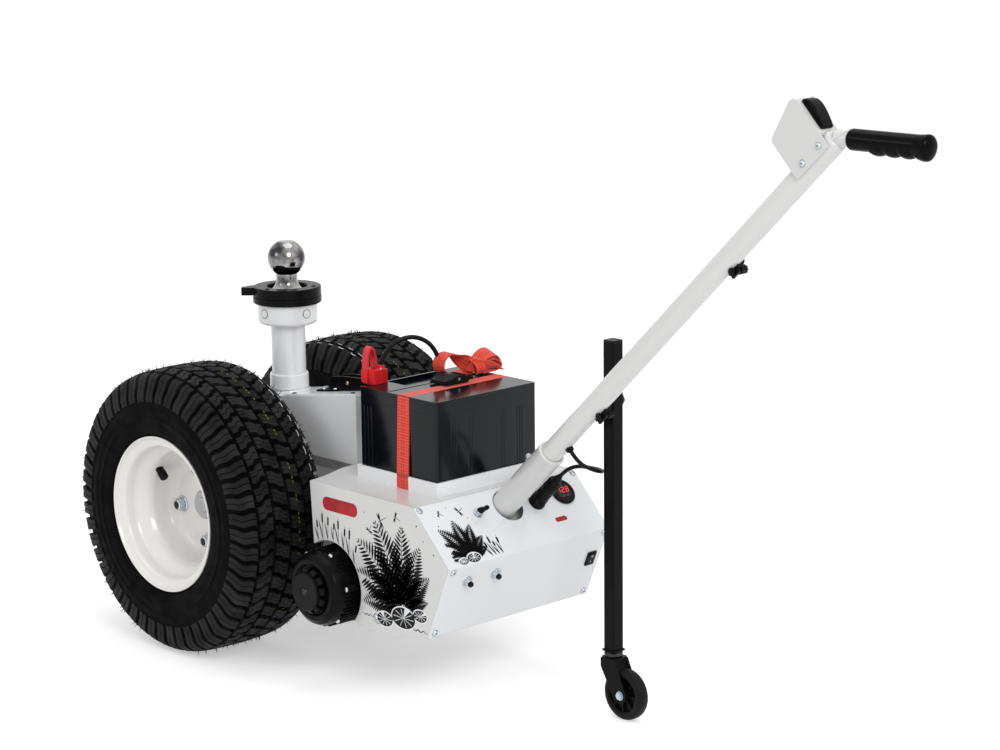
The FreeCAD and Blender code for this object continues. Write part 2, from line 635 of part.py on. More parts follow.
upper_plate = turned("upper_plate", [
    ("ring_bore_radius", "ring_bottom_z + ring_plate"),
    ("ring_radius", "ring_bottom_z + ring_plate"),
    ("ring_radius", "%s - 1.5" % RING_TOP_Z),
    ("ring_radius - 1.5", RING_TOP_Z),
    ("ring_bore_radius", RING_TOP_Z),
])
place(upper_plate, POST_X)
lever = slab("lever", [
    ("ring_bore_radius + 8", "ring_lever_front - ring_lever_width"),
    ("ring_lever_reach", "ring_lever_front - ring_lever_tip"),
    ("ring_lever_reach", "ring_lever_front"),
    ("ring_bore_radius + 8", "ring_lever_front"),
], "ring_plate - 3", role="XY_Plane")
lever.Placement = Placement(Vector(), Rotation(Vector(0, 0, 1), value_of("ring_lever_angle")))
lever.setExpression("Placement.Rotation.Angle", cells("(ring_lever_angle) * 1 deg"))
place(lever, POST_X, "0", "ring_bottom_z + 1.5 * ring_plate")
finish(fuse("upper_ring", [upper_plate, lever]), "lock_ring_upper")

SHANK_FOOT = "ring_bottom_z"
FLAT_RADIUS = "sqrt(ball_radius ^ 2 - ball_flat_above ^ 2)"
NECK_BELOW = "sqrt(ball_radius ^ 2 - ball_neck_radius ^ 2)"


def hitch_ball():
    """The ball on its neck and seat flange, with a round profile from neck to flat top."""
    centre = value_of("ball_centre_z")
    radius = value_of("ball_radius")
    flat = Vector(value_of(FLAT_RADIUS), 0, centre + value_of("ball_flat_above"))
    neck_top = Vector(value_of("ball_neck_radius"), 0, centre - value_of(NECK_BELOW))
    flange = value_of("ball_collar_radius")
    flange_top = value_of("ball_collar_z")
    flange_foot = value_of(RING_TOP_Z)
    shank = value_of("ring_bore_radius") - 2
    foot = value_of(SHANK_FOOT)
    fillet_top = Vector(neck_top.x, 0, flange_top + 14)
    fillet_mid = Vector(neck_top.x + 3.5, 0, flange_top + 4)
    fillet_end = Vector(flange - 1, 0, flange_top)
    corners = [Vector(flange, 0, flange_top - 1), Vector(flange, 0, flange_foot)]
    if shank < flange:
        corners.append(Vector(shank, 0, flange_foot))
    corners += [Vector(shank if shank < flange else flange, 0, foot), Vector(0, 0, foot)]
    edges = [
        Part.LineSegment(Vector(0, 0, flat.z), flat).toShape(),
        Part.Arc(flat, Vector(radius, 0, centre), neck_top).toShape(),
        Part.LineSegment(neck_top, fillet_top).toShape(),
        Part.Arc(fillet_top, fillet_mid, fillet_end).toShape(),
        Part.LineSegment(fillet_end, corners[0]).toShape(),
    ]
    for start, end in zip(corners, corners[1:]):
        edges.append(Part.LineSegment(start, end).toShape())
    edges.append(Part.LineSegment(corners[-1], Vector(0, 0, flat.z)).toShape())
    face = Part.Face(Part.Wire(edges))
    return face.revolve(Vector(0, 0, 0), Vector(0, 0, 1), 360)


ball = doc.addObject("Part::Feature", "hitch_ball_shape")
ball.Shape = hitch_ball()
finish(place(ball, POST_X), "hitch_ball")

# ---------------------------------------------------------------- body
BODY_INNER = "(body_half_width - body_sheet)"


FOLD = "(1 + cos((handle_angle + panel_lower_lean) * 1 deg))"
LEAN_COS = "cos(panel_lower_lean * 1 deg)"
LEAN_SIN = "sin(panel_lower_lean * 1 deg)"
KNEE_IN_X = "(%s - body_sheet * (%s + %s) / %s)" % (KNEE_X, COS_H, LEAN_COS, FOLD)
KNEE_IN_Z = "(%s - body_sheet * (%s - %s) / %s)" % (KNEE_Z, SIN_H, LEAN_SIN, FOLD)
HEEL_IN_X = "(%s - body_sheet * %s)" % (HEEL_X, LEAN_COS)
HEEL_IN_Z = "(%s + body_sheet * %s)" % (HEEL_Z, LEAN_SIN)
PANEL_IN_X = "(body_top_rear_x - body_sheet * %s)" % COS_H
PANEL_IN_Z = "(body_top_z - body_sheet * %s)" % SIN_H


def side_points():
    return [
        ("body_front_x", "body_top_z"),
        ("body_top_rear_x", "body_top_z"),
        (KNEE_X, KNEE_Z),
        (HEEL_X, HEEL_Z),
        ("floor_rear_x", "body_floor_z"),
        ("floor_front_x", "body_floor_z"),
        ("body_front_x + 10", "drum_z"),
    ]


FLOOR_SLOPE = "((%s - body_floor_z) / (%s - floor_rear_x))" % (HEEL_Z, HEEL_X)
OPEN_X = "(%s + 20)" % KNEE_X


def inner_points():
    """The space inside the body, which runs out through the rear, where the panel closes it."""
    return [
        ("body_front_x + body_sheet", "body_top_z - body_sheet"),
        (OPEN_X, "body_top_z - body_sheet"),
        (OPEN_X, "body_floor_z + body_sheet + (%s - floor_rear_x) * %s" % (OPEN_X, FLOOR_SLOPE)),
        ("floor_rear_x", "body_floor_z + body_sheet"),
        ("floor_front_x", "body_floor_z + body_sheet"),
        ("body_front_x + 10 + body_sheet", "drum_z"),
    ]


def panel_strip(name, width):
    """The folded rear panel before its hole: the upper panel, the knee and the lower panel."""
    strip = slab(name, [
        ("body_top_rear_x", "body_top_z"),
        (KNEE_X, KNEE_Z),
        (HEEL_X, HEEL_Z),
        (HEEL_IN_X, HEEL_IN_Z),
        (KNEE_IN_X, KNEE_IN_Z),
        (PANEL_IN_X, PANEL_IN_Z),
    ], width)
    return place(strip, AXLE_X)


# The body's top reaches forward in the middle as a rounded nose under the frame box.
nose = slab("nose", [
    ("body_front_x + 10", "-body_half_width"),
    ("body_front_x", "-body_half_width"),
    ("body_nose_x + 21", "-body_half_width * 0.8"),
    ("body_nose_x + 11", "-body_half_width * 0.62"),
    ("body_nose_x + 1.5", "-body_half_width * 0.47"),
    ("body_nose_x - 1", "-body_half_width * 0.32"),
    ("body_nose_x - 1", "body_half_width * 0.32"),
    ("body_nose_x + 1.5", "body_half_width * 0.47"),
    ("body_nose_x + 11", "body_half_width * 0.62"),
    ("body_nose_x + 21", "body_half_width * 0.8"),
    ("body_front_x", "body_half_width"),
    ("body_front_x + 10", "body_half_width"),
], "body_sheet", role="XY_Plane")
place(nose, AXLE_X, "0", "body_top_z - body_sheet / 2")
nose_clear = cut("nose_clear", nose, frame_outer)

body_outer = place(slab("body_outer", side_points(), "2 * body_half_width"), AXLE_X)
body_inner = place(slab("body_inner", inner_points(), "2 * %s" % BODY_INNER), AXLE_X)
body_shell = cut("body_shell", body_outer, body_inner)
body_nosed = fuse("body_nosed", [body_shell, nose_clear])
notch = rod("drum_notch", "notch_radius", "2 * body_half_width + 20", x_at("drum_x"),
            "-body_half_width - 10", "drum_z", "Y")
tray_hole = block("tray_hole", "tray_length", "tray_width", "100",
                  x_at("tray_front_x"), "battery_side_y", "body_top_z - 50")
panel_clear = panel_strip("panel_clear", "2 * body_half_width + 2")
socket_hole = sloped_rod("socket_hole", "socket_radius + 0.5", "120", "-60")
body_tools = fuse("body_tools", [notch, tray_hole, panel_clear, socket_hole])
finish(cut("body_open", body_nosed, body_tools), "body_cover")

panel_solid = panel_strip("panel_solid", "2 * body_half_width")
panel_hole = sloped_rod("panel_hole", "slot_radius", "80", "-40", "-slot_lower", "slot_side_y")
finish(cut("panel_open", panel_solid, panel_hole), "rear_panel")

# A cross plate inside the body carries the foot of the handle's socket.
socket_mount = slab("socket_mount_solid", [
    ("mount_below", "-socket_depth"),
    ("-mount_above", "-socket_depth"),
    ("-mount_above", "-socket_depth - mount_sheet"),
    ("mount_below", "-socket_depth - mount_sheet"),
], "2 * %s" % BODY_INNER)
finish(place_on_handle(socket_mount, "0"), "socket_mount")

# ---------------------------------------------------------------- battery tray and battery
TRAY_FLOOR_Z = "(battery_top_z - battery_height - tray_sheet)"
tray_outer = block("tray_outer", "tray_length", "tray_width", "tray_top_z - %s" % TRAY_FLOOR_Z,
                   x_at("tray_front_x"), "battery_side_y", TRAY_FLOOR_Z)
tray_inner = block("tray_inner", "tray_length - 2 * tray_sheet", "tray_width - 2 * tray_sheet",
                   "tray_top_z - %s" % TRAY_FLOOR_Z, x_at("tray_front_x + tray_sheet"),
                   "battery_side_y", "%s + tray_sheet" % TRAY_FLOOR_Z)
finish(cut("tray", tray_outer, tray_inner), "battery_tray")

BATTERY_X = "(tray_front_x + (tray_length - battery_length) / 2)"
battery = block("battery_block", "battery_length", "battery_width", "battery_height - lid_height",
                x_at(BATTERY_X), "battery_side_y", "battery_top_z - battery_height")
finish(battery, "battery")
lid_solid = block("lid_solid", "battery_length", "battery_width", "lid_height",
                  x_at(BATTERY_X), "battery_side_y", "battery_top_z - lid_height")
lid_well = block("lid_well", "well_length", "well_width", "well_depth + 1",
                 x_at("%s + well_start" % BATTERY_X), "battery_side_y",
                 "battery_top_z - well_depth")
finish(cut("lid", lid_solid, lid_well), "battery_lid")

STRAP_FOOT = "(tray_width / 2 + strap_gap)"
STRAP_OUT = "(tray_width / 2 + strap_gap + strap_thickness)"
HALF_BATTERY = "(battery_width / 2)"
strap = slab("strap_solid", [
    ("%s + strap_thickness" % HALF_BATTERY, "battery_top_z + strap_thickness"),
    (STRAP_OUT, "tray_top_z"),
    (STRAP_OUT, "body_top_z"),
    (STRAP_FOOT, "body_top_z"),
    (STRAP_FOOT, "tray_top_z + strap_thickness"),
    (HALF_BATTERY, "battery_top_z"),
    ("-%s" % HALF_BATTERY, "battery_top_z"),
    ("-%s" % STRAP_FOOT, "tray_top_z + strap_thickness"),
    ("-%s" % STRAP_FOOT, "body_top_z"),
    ("-%s" % STRAP_OUT, "body_top_z"),
    ("-%s" % STRAP_OUT, "tray_top_z"),
    ("-%s - strap_thickness" % HALF_BATTERY, "battery_top_z + strap_thickness"),
], "strap_width", role="YZ_Plane")
finish(place(strap, x_at("strap_middle_x"), "battery_side_y"), "battery_strap")

STRAP_TOP_Z = "(battery_top_z + strap_thickness)"
buckle = block("buckle", "buckle_length", "buckle_width", "buckle_height", x_at("buckle_x"),
               "buckle_side_y", STRAP_TOP_Z)
finish(buckle, "strap_buckle")


def bow_points(inset):
    """Half of a flattened loop of webbing, seen along X, from the knot outwards."""
    low = "(%s + %s)" % (STRAP_TOP_Z, inset)
    high = "(%s + bow_height - %s)" % (STRAP_TOP_Z, inset)
    middle = "(%s + bow_height * 0.5)" % STRAP_TOP_Z
    return [
        ("%s" % inset, middle),
        ("bow_loop * 0.3", high),
        ("bow_loop * 0.75", high),
        ("bow_loop - %s" % inset, middle),
        ("bow_loop * 0.75", low),
        ("bow_loop * 0.3", low),
    ]


def mirrored(points):
    return [("-(%s)" % across, height) for across, height in points]


bow_pieces = []
for side_name, turn in (("far", list), ("near", mirrored)):
    outer = slab("bow_outer_" + side_name, turn(bow_points("0")), "strap_width", role="YZ_Plane")
    hollow = slab("bow_hollow_" + side_name, turn(bow_points("strap_thickness")),
                  "strap_width + 2", role="YZ_Plane")
    for piece in (outer, hollow):
        place(piece, x_at("bow_x + strap_width / 2"), "bow_side_y")
    bow_pieces.append(cut("bow_loop_" + side_name, outer, hollow))
knot = block("bow_knot", "strap_width", "10", "bow_height * 0.7", x_at("bow_x"), "bow_side_y",
             STRAP_TOP_Z)
tail = block("bow_tail", "tail_length", "strap_width", "strap_thickness",
             x_at("tail_x"), "bow_side_y", STRAP_TOP_Z)
finish(fuse("bow", bow_pieces + [knot, tail]), "strap_bow")

CONNECTOR_TOP_Z = "(battery_top_z + connector_height)"
connector = block("connector", "connector_length", "connector_width", "connector_height",
                  x_at("connector_x"), "connector_side_y", "battery_top_z")
LOOP_SIDE_Y = "(connector_side_y - connector_width / 2 + loop_width / 2)"
loop_outer = block("loop_outer", "loop_span", "loop_width", "loop_height", x_at("connector_x"),
                   LOOP_SIDE_Y, CONNECTOR_TOP_Z)
loop_hole = block("loop_hole", "loop_span - 2 * loop_sheet", "loop_width + 2",
                  "loop_height - loop_sheet", x_at("connector_x + loop_sheet"), LOOP_SIDE_Y,
                  CONNECTOR_TOP_Z)
pull_loop = cut("pull_loop", loop_outer, loop_hole)
finish(fuse("connector_looped", [connector, pull_loop]), "power_connector")

boot = rod("boot", "terminal_radius", "terminal_top_z - battery_top_z + well_depth",
           x_at("terminal_x"), "terminal_side_y", "battery_top_z - well_depth")
finish(boot, "terminal_boot")


def on_frame(name, length, width, height, start, above):
    """A block that lies along the frame box's sloping top."""
    x = x_at("latch_x + (%s) * cos(frame_slope * 1 deg)" % start)
    z = "%s + %s" % (frame_top("(latch_x + (%s))" % start), above)
    return block(name, length, width, height, x, "0", z, tilt="-frame_slope")


latch_foot = on_frame("latch_foot", "latch_foot_length", "latch_foot_width",
                      "latch_foot_height", "0", "0")
latch_body = on_frame("latch_body", "latch_body_length", "latch_body_width",
                      "latch_body_height + latch_foot_height", "latch_body_start", "0")
finish(fuse("bracket", [latch_foot, latch_body]), "latch_bracket")

# ---------------------------------------------------------------- drive
DRUM_CORE = "(drum_radius - drum_rib)"
DRUM_RIB_START = "(drum_inner_y + drum_flange / 2)"
DRUM_RIB_LENGTH = "(drum_outer_y - drum_nose - %s)" % DRUM_RIB_START


def on_drum_axis(obj):
    """Turn a body made about its own Z so that it stands out to the -Y side."""
    obj.Placement = Placement(Vector(), Rotation(Vector(1, 0, 0), 90))
    return place(obj, x_at("drum_x"), "0", "drum_z")


def turned_body(name, points):
    body = turned(name, points)
    return body, (body.Tip.Profile[0], ["V_Axis"])


drum, drum_axis = turned_body("drum", [
    ("0", "drum_inner_y"),
    ("drum_radius", "drum_inner_y"),
    ("drum_radius", "drum_inner_y + drum_flange"),
    (DRUM_CORE, "drum_inner_y + drum_flange"),
    (DRUM_CORE, "drum_outer_y - drum_nose / 2"),
    ("%s - drum_nose / 2" % DRUM_CORE, "drum_outer_y"),
    ("0", "drum_outer_y"),
])
rib = outline(drum, "drum_rib_outline", "XY_Plane", [
    ("%s - 2" % DRUM_CORE, "-drum_rib_width / 2"),
    ("drum_radius - 0.2", "-drum_rib_width / 2"),
    ("drum_radius - 0.2", "drum_rib_width / 2"),
    ("%s - 2" % DRUM_CORE, "drum_rib_width / 2"),
], lift=DRUM_RIB_START)
ribs = pad(drum, rib, "drum_rib", DRUM_RIB_LENGTH)
repeat_round(drum, "drum_ribs", [ribs], drum_axis, "24")
lobe = outline(drum, "drum_lobe_outline", "XY_Plane", [
    ("%s - 6" % DRUM_CORE, "-drum_lobe_radius"),
    ("%s + 1" % DRUM_CORE, "-drum_lobe_radius"),
    ("drum_radius - 0.1", "-drum_lobe_radius * 0.4"),
    ("drum_radius - 0.1", "drum_lobe_radius * 0.4"),
    ("%s + 1" % DRUM_CORE, "drum_lobe_radius"),
    ("%s - 6" % DRUM_CORE, "drum_lobe_radius"),
], lift=DRUM_RIB_START)
lobes = pad(drum, lobe, "drum_lobe", DRUM_RIB_LENGTH)
repeat_round(drum, "drum_lobes", [lobes], drum_axis, "6")
finish(on_drum_axis(drum), "gear_drum")

KNOB_CORE = "(knob_radius - knob_tooth)"
knob, knob_axis = turned_body("knob", [
    ("0", "drum_outer_y"),
    (KNOB_CORE, "drum_outer_y"),
    (KNOB_CORE, "knob_outer_y - knob_disc"),
    ("knob_radius", "knob_outer_y - knob_disc"),
    ("knob_radius", "knob_outer_y"),
    ("0", "knob_outer_y"),
])
tooth = outline(knob, "knob_tooth_outline", "XY_Plane", [
    ("%s - 2" % KNOB_CORE, "-knob_tooth_width / 2"),
    ("knob_radius - 0.4", "-knob_tooth_width / 5"),
    ("knob_radius - 0.4", "knob_tooth_width / 5"),
    ("%s - 2" % KNOB_CORE, "knob_tooth_width / 2"),
], lift="drum_outer_y + 1")
teeth = pad(knob, tooth, "knob_tooth", "knob_outer_y - knob_disc / 2 - drum_outer_y - 1")
repeat_round(knob, "knob_teeth", [teeth], knob_axis, "18")
finish(on_drum_axis(knob), "clutch_knob")
motor = rod("motor", "motor_radius", "motor_end_y + drum_inner_y", x_at("drum_x"),
            "-drum_inner_y", "drum_z", "Y")
finish(motor, "drive_motor")

# ---------------------------------------------------------------- handle
socket_outer = sloped_rod("socket_outer", "socket_radius", "socket_length + socket_depth",
                          "-socket_depth")
socket_bore = sloped_rod("socket_bore", "handle_radius", "socket_length + socket_depth + 2",
                         "-socket_depth - 1")
finish(cut("socket", socket_outer, socket_bore), "handle_socket")

handle_outer = sloped_rod("handle_outer", "handle_radius", "handle_length + socket_depth",
                          "-socket_depth")
handle_bore = sloped_rod("handle_bore", "handle_radius - handle_wall",
                         "handle_length + socket_depth - 3", "-socket_depth - 1")
finish(cut("handle", handle_outer, handle_bore), "handle_tube")



def across_handle(name, radius, length, along, above, side="0"):
    """A round bar square to the handle's upper side."""
    bar = doc.addObject("Part::Cylinder", name)
    bar.setExpression("Radius", cells(radius))
    bar.setExpression("Height", cells(length))
    x = x_at("handle_foot_x + (%s) * %s - (%s) * %s" % (along, COS_H, above, SIN_H))
    z = "handle_foot_z + (%s) * %s + (%s) * %s" % (along, SIN_H, above, COS_H)
    return place(bar, x, side, z, tilt="-handle_angle")


lock_pin = across_handle("lock_pin_bar", "lock_pin_radius", "lock_pin_height + 5", "lock_pin_s",
                         "socket_radius - 5")
finish(cut("lock_pin_clear", lock_pin, socket_outer), "handle_lock_pin")
grommet_bar = across_handle("grommet_bar", "grommet_radius", "grommet_reach", "grommet_s",
                            "-grommet_reach")
finish(cut("grommet_clear", grommet_bar, handle_outer), "lead_grommet")

GRIP_TILT = "90 - grip_rise"
GRIP_X = x_at("handle_foot_x + handle_length * %s" % COS_H)
GRIP_Z = "handle_foot_z + handle_length * %s" % SIN_H


def grip_rod(name, radius, start, length):
    bar = doc.addObject("Part::Cylinder", name)
    bar.setExpression("Radius", cells(radius))
    bar.setExpression("Height", cells(length))
    x = "%s + (%s) * cos(grip_rise * 1 deg)" % (GRIP_X, start)
    z = "%s + (%s) * sin(grip_rise * 1 deg)" % (GRIP_Z, start)
    return place(bar, x, "0", z, tilt=GRIP_TILT)


core = grip_rod("grip_core", "grip_core_radius", "0", "grip_stub_length + grip_length - 4")
core_cut = cut("core_clear", core, handle_outer)
finish(core_cut, "grip_stub")
grip_solid = grip_rod("grip_solid", "grip_radius", "grip_stub_length", "grip_length")
GRIP_END = "(grip_stub_length + grip_length)"
grip_pieces = [grip_solid]
grip_pieces.append(grip_rod("grip_flare", "grip_end_radius", "%s - 4 - grip_end_length" % GRIP_END,
                            "grip_end_length"))
for number in range(4):
    along = "(%s - grip_end_length - (%d + 0.5) * finger_pitch)" % (GRIP_END, number)
    below = "(finger_reach - finger_radius)"
    bump = rod("finger_%d" % number, "finger_radius", "finger_width",
               "%s + %s * cos(grip_rise * 1 deg) + %s * sin(grip_rise * 1 deg)"
               % (GRIP_X, along, below), "-finger_width / 2",
               "%s + %s * sin(grip_rise * 1 deg) - %s * cos(grip_rise * 1 deg)"
               % (GRIP_Z, along, below), "Y")
    grip_pieces.append(bump)
grip_fused = fuse("grip_fused", grip_pieces)
finish(cut("grip", grip_fused, core), "hand_grip")

# The switch box sits on the handle. Its own Z runs up the handle and its -X points away from it.
BOX_START = "(handle_length - box_end_gap - box_length)"


def box_points(inset):
    return [
        ("0", inset),
        ("0", "box_length - %s" % inset),
        ("-box_high_height + %s" % inset, "box_length - %s" % inset),
        ("-box_low_height + %s" % inset, inset),
    ]


box_outer = slab("box_outer", box_points("0"), "2 * box_half_width")
box_hollow = slab("box_hollow", box_points("box_sheet"), "2 * (box_half_width - box_sheet)")
for piece in (box_outer, box_hollow):
    place_on_handle(piece, BOX_START)
box_tools = fuse("box_tools", [box_hollow, handle_outer])
finish(cut("box_shell", box_outer, box_tools), "switch_box")

thumb_body = slab("thumb_body", [
    ("-box_high_height + rocker_inset", "0"),
    ("-box_high_height + rocker_inset", "rocker_height"),
    ("-box_high_height + rocker_inset + rocker_length", "rocker_height"),
    ("-box_high_height + rocker_inset + rocker_length", "0"),
], "rocker_width")
place_on_handle(thumb_body, "%s + box_length" % BOX_START)
finish(thumb_body, "thumb_switch")


# ---------------------------------------------------------------- controls on the rear panels
def on_upper_panel(obj, down, side, out="0"):
    """An object whose own Z stands out of the upper panel, at a place down and across it."""
    x = x_at("body_top_rear_x + (%s) * %s + (%s) * %s" % (down, SIN_H, out, COS_H))
    z = "body_top_z - (%s) * %s + (%s) * %s" % (down, COS_H, out, SIN_H)
    return place(obj, x, side, z, tilt=HANDLE_TILT)


LOWER_TILT = "90 + panel_lower_lean"


def on_lower_panel(obj, down, side, out="0"):
    """An object whose own Z stands out of the lower panel."""
    lean_sin = "sin(panel_lower_lean * 1 deg)"
    lean_cos = "cos(panel_lower_lean * 1 deg)"
    x = x_at("%s - (%s) * %s + (%s) * %s" % (KNEE_X, down, lean_sin, out, lean_cos))
    z = "%s - (%s) * %s - (%s) * %s" % (KNEE_Z, down, lean_cos, out, lean_sin)
    return place(obj, x, side, z, tilt=LOWER_TILT)


toggle = turned("toggle", [
    ("0", "0"),
    ("8", "0"),
    ("8", "5"),
    ("5", "6"),
    ("4", "14"),
    ("2.5", "26"),
    ("0", "26"),
])
finish(on_upper_panel(toggle, "toggle_down", "toggle_side_y"), "toggle_switch")
meter = turned("meter", [
    ("0", "0"),
    ("meter_radius", "0"),
    ("meter_radius", "3"),
    ("meter_radius - 2", "4"),
    ("0", "4"),
])
finish(on_upper_panel(meter, "meter_down", "meter_side_y"), "voltmeter")
plug = turned("plug", [
    ("0", "0"),
    ("plug_flange", "0"),
    ("plug_flange", "5"),
    ("plug_radius", "7"),
    ("plug_radius", "plug_length * 0.6"),
    ("plug_radius - 1", "plug_length * 0.63"),
    ("plug_radius - 1", "plug_length * 0.8"),
    ("plug_neck", "plug_length * 0.83"),
    ("plug_neck", "plug_length"),
    ("0", "plug_length"),
])
finish(on_upper_panel(plug, "plug_down", "plug_side_y"), "handle_plug")

buttons = []
for index, side in enumerate(("breaker_one_y", "breaker_two_y")):
    button = turned("breaker_%d" % index, [
        ("0", "0"),
        ("9", "0"),
        ("9", "4"),
        ("6", "5"),
        ("6", "11"),
        ("0", "11"),
    ])
    buttons.append(on_lower_panel(button, "breaker_down", side))
finish(fuse("breakers", buttons), "breaker_buttons")
rocker = slab("rocker", [
    ("-12", "0"),
    ("12", "0"),
    ("12", "4"),
    ("-12", "4"),
], "18")
finish(on_lower_panel(rocker, "rocker_down", "rocker_side_y"), "power_rocker")

# ---------------------------------------------------------------- caster leg
PIVOT_X = x_at("handle_foot_x + leg_pivot_s * %s" % COS_H)
PIVOT_Z = "(handle_foot_z + leg_pivot_s * %s)" % SIN_H
FORK_TOP_Z = "(2 * caster_radius + fork_top_gap + fork_sheet)"
LEG_FOOT_Z = "(%s + swivel_height)" % FORK_TOP_Z
leg_bar = block("leg_bar", "leg_size", "leg_size", "%s + leg_stub - %s" % (PIVOT_Z, LEG_FOOT_Z),
                "%s - leg_size / 2" % PIVOT_X, "leg_side_y", LEG_FOOT_Z)
leg_bore = rod("leg_bore", "pivot_radius + pivot_gap", "leg_size + 4", PIVOT_X,
               "leg_side_y - leg_size / 2 - 2", PIVOT_Z, "Y")
finish(cut("leg", leg_bar, leg_bore), "leg_tube")
swivel = rod("swivel", "swivel_radius", "swivel_height - 0.3", PIVOT_X, "leg_side_y",
             "%s + 0.3" % FORK_TOP_Z)
finish(swivel, "swivel_bearing")

FORK_HALF = "(caster_width / 2 + fork_gap + fork_sheet)"
fork_outer = slab("fork_outer", [
    ("-14", FORK_TOP_Z),
    ("16", FORK_TOP_Z),
    ("caster_trail + 11", "caster_radius + 2"),
    ("caster_trail + 8", "caster_radius - 9"),
    ("caster_trail - 8", "caster_radius - 9"),
    ("-14", "%s - 12" % FORK_TOP_Z),
], "2 * %s" % FORK_HALF)
place(fork_outer, PIVOT_X, "leg_side_y")
fork_inner = block("fork_inner", "200", "2 * (%s - fork_sheet)" % FORK_HALF,
                   "%s - fork_sheet" % FORK_TOP_Z, "%s - 80" % PIVOT_X, "leg_side_y", "0")
fork_bracket = cut("fork_bracket", fork_outer, fork_inner)
fork_pin = rod("fork_pin", "caster_pin_radius", "2 * %s + 6" % FORK_HALF,
               "%s + caster_trail" % PIVOT_X, "leg_side_y - %s - 3" % FORK_HALF,
               "caster_radius", "Y")
finish(fuse("fork", [fork_bracket, fork_pin]), "caster_fork")

caster = turned("caster", [
    ("-(caster_width / 2)", "caster_pin_radius + pivot_gap"),
    ("-(caster_width / 2)", "caster_radius - 3"),
    ("-(caster_width / 2) + 3", "caster_radius"),
    ("caster_width / 2 - 3", "caster_radius"),
    ("caster_width / 2", "caster_radius - 3"),
    ("caster_width / 2", "caster_pin_radius + pivot_gap"),
], axis="H_Axis")
finish(place(caster, "%s + caster_trail" % PIVOT_X, "leg_side_y", "caster_radius"), "caster_wheel")


def clamp_ring(name, along, length):
    """A ring clamped round the handle tube, with its hand knob below."""
    ring = sloped_rod(name + "_ring", "handle_radius + clamp_wall", length,
                      "%s - (%s) / 2" % (along, length))
    x = x_at("handle_foot_x + (%s) * %s + clamp_knob_below * %s" % (along, COS_H, SIN_H))
    z = "handle_foot_z + (%s) * %s - clamp_knob_below * %s" % (along, SIN_H, COS_H)
    hand_knob = rod(name + "_knob", "clamp_knob_radius", "clamp_knob_end + 4", x, "-4", z, "Y")
    return [ring, hand_knob]


hinge_pin = rod("hinge_pin", "pivot_radius", "leg_side_y + leg_size / 2 + 6", PIVOT_X, "0",
                PIVOT_Z, "Y")
hinge_head = rod("hinge_head", "pivot_radius + 4", "5", PIVOT_X,
                 "leg_side_y + leg_size / 2 + 1", PIVOT_Z, "Y")
hinge_solid = fuse("hinge_solid", clamp_ring("hinge", "leg_pivot_s", "26") + [hinge_pin, hinge_head])
finish(cut("hinge_bracket", hinge_solid, handle_outer), "leg_hinge")

clip_back = slab("clip_back", [
    ("-leg_size / 2 - 4.5", "-11"),
    ("-leg_size / 2 - 2", "-11"),
    ("-leg_size / 2 - 2", "11"),
    ("-leg_size / 2 - 4.5", "11"),
], "2 * leg_side_y")
place_on_handle(clip_back, "leg_clip_s", "0", "leg_side_y / 2 + 6")
clip_half = cut("clip_half", clip_back, handle_outer)
clip_solid = fuse("clip_solid", clamp_ring("clip", "leg_clip_s", "22") + [clip_half])
finish(cut("clip_bracket", clip_solid, handle_outer), "leg_clip")


# ---------------------------------------------------------------- cords
def cord(label, radius, points):
    """A cord of straight runs joined by tangent arcs, from route points behind the axle."""
    places = [Vector(*point) for point in points]
    size = value_of(radius)
    edges = []
    start = places[0]
    for before, corner, after in zip(places, places[1:], places[2:]):
        into = (before - corner).normalize()
        out = (after - corner).normalize()
        shorter = min((before - corner).Length, (after - corner).Length)
        reach = 0.45 * shorter
        half_turn = (math.pi - into.getAngle(out)) / 2
        bend = reach / math.tan(half_turn)
        middle = (into + out).normalize()
        arc_in = corner + into * reach
        arc_out = corner + out * reach
        arc_mid = corner + middle * (math.hypot(bend, reach) - bend)
        edges.append(Part.LineSegment(start, arc_in).toShape())
        edges.append(Part.Arc(arc_in, arc_mid, arc_out).toShape())
        print("%s bend radius %.1f" % (label, bend))
        start = arc_out
    edges.append(Part.LineSegment(start, places[-1]).toShape())
    path = Part.Wire(edges)
    ring = Part.Wire(Part.makeCircle(size, places[0], places[1] - places[0]))
    tube = path.makePipeShell([ring], True, False)
    expected = math.pi * size ** 2 * path.Length
    if abs(tube.Volume - expected) > 0.01 * expected:
        raise RuntimeError("%s has volume %.1f, not %.1f" % (label, tube.Volume, expected))
    print("%s length %.1f" % (label, path.Length))
    feature = doc.addObject("Part::Feature", label + "_shape")
    feature.Shape = tube
    return finish(place(feature, AXLE_X), label)


cord("handle_lead", "handle_lead_radius", [
    (572.4, 57.0, 329.3),
    (584.7, 57.0, 341.1),
    (607.0, 58.0, 350.5),
    (640.0, 51.0, 354.5),
    (668.0, 46.0, 356.5),
    (682.5, 32.0, 359.0),
    (682.5, 13.0, 365.0),
    (665.4, 0.0, 374.8),
    (651.6, 0.0, 389.2),
])
cord("battery_lead", "lead_radius", [
    (304.0, -53.0, 473.4),
    (308.6, -43.5, 496.1),
    (317.5, -25.1, 510.4),
    (328.3, -2.7, 512.6),
    (337.9, 17.2, 500.8),
    (343.6, 28.8, 479.2),
    (345.0, 32.0, 458.0),
])

# ---------------------------------------------------------------- check and write
doc.recompute()
for obj in doc.Objects:
    if "Invalid" in obj.State or "Error" in obj.State:
        raise RuntimeError("%s failed: %s" % (obj.Label, obj.State))
for obj in PARTS:
    shape = obj.Shape
    if shape.isNull() or not shape.isValid() or not shape.Solids:
        raise RuntimeError("%s has no valid solid" % obj.Label)

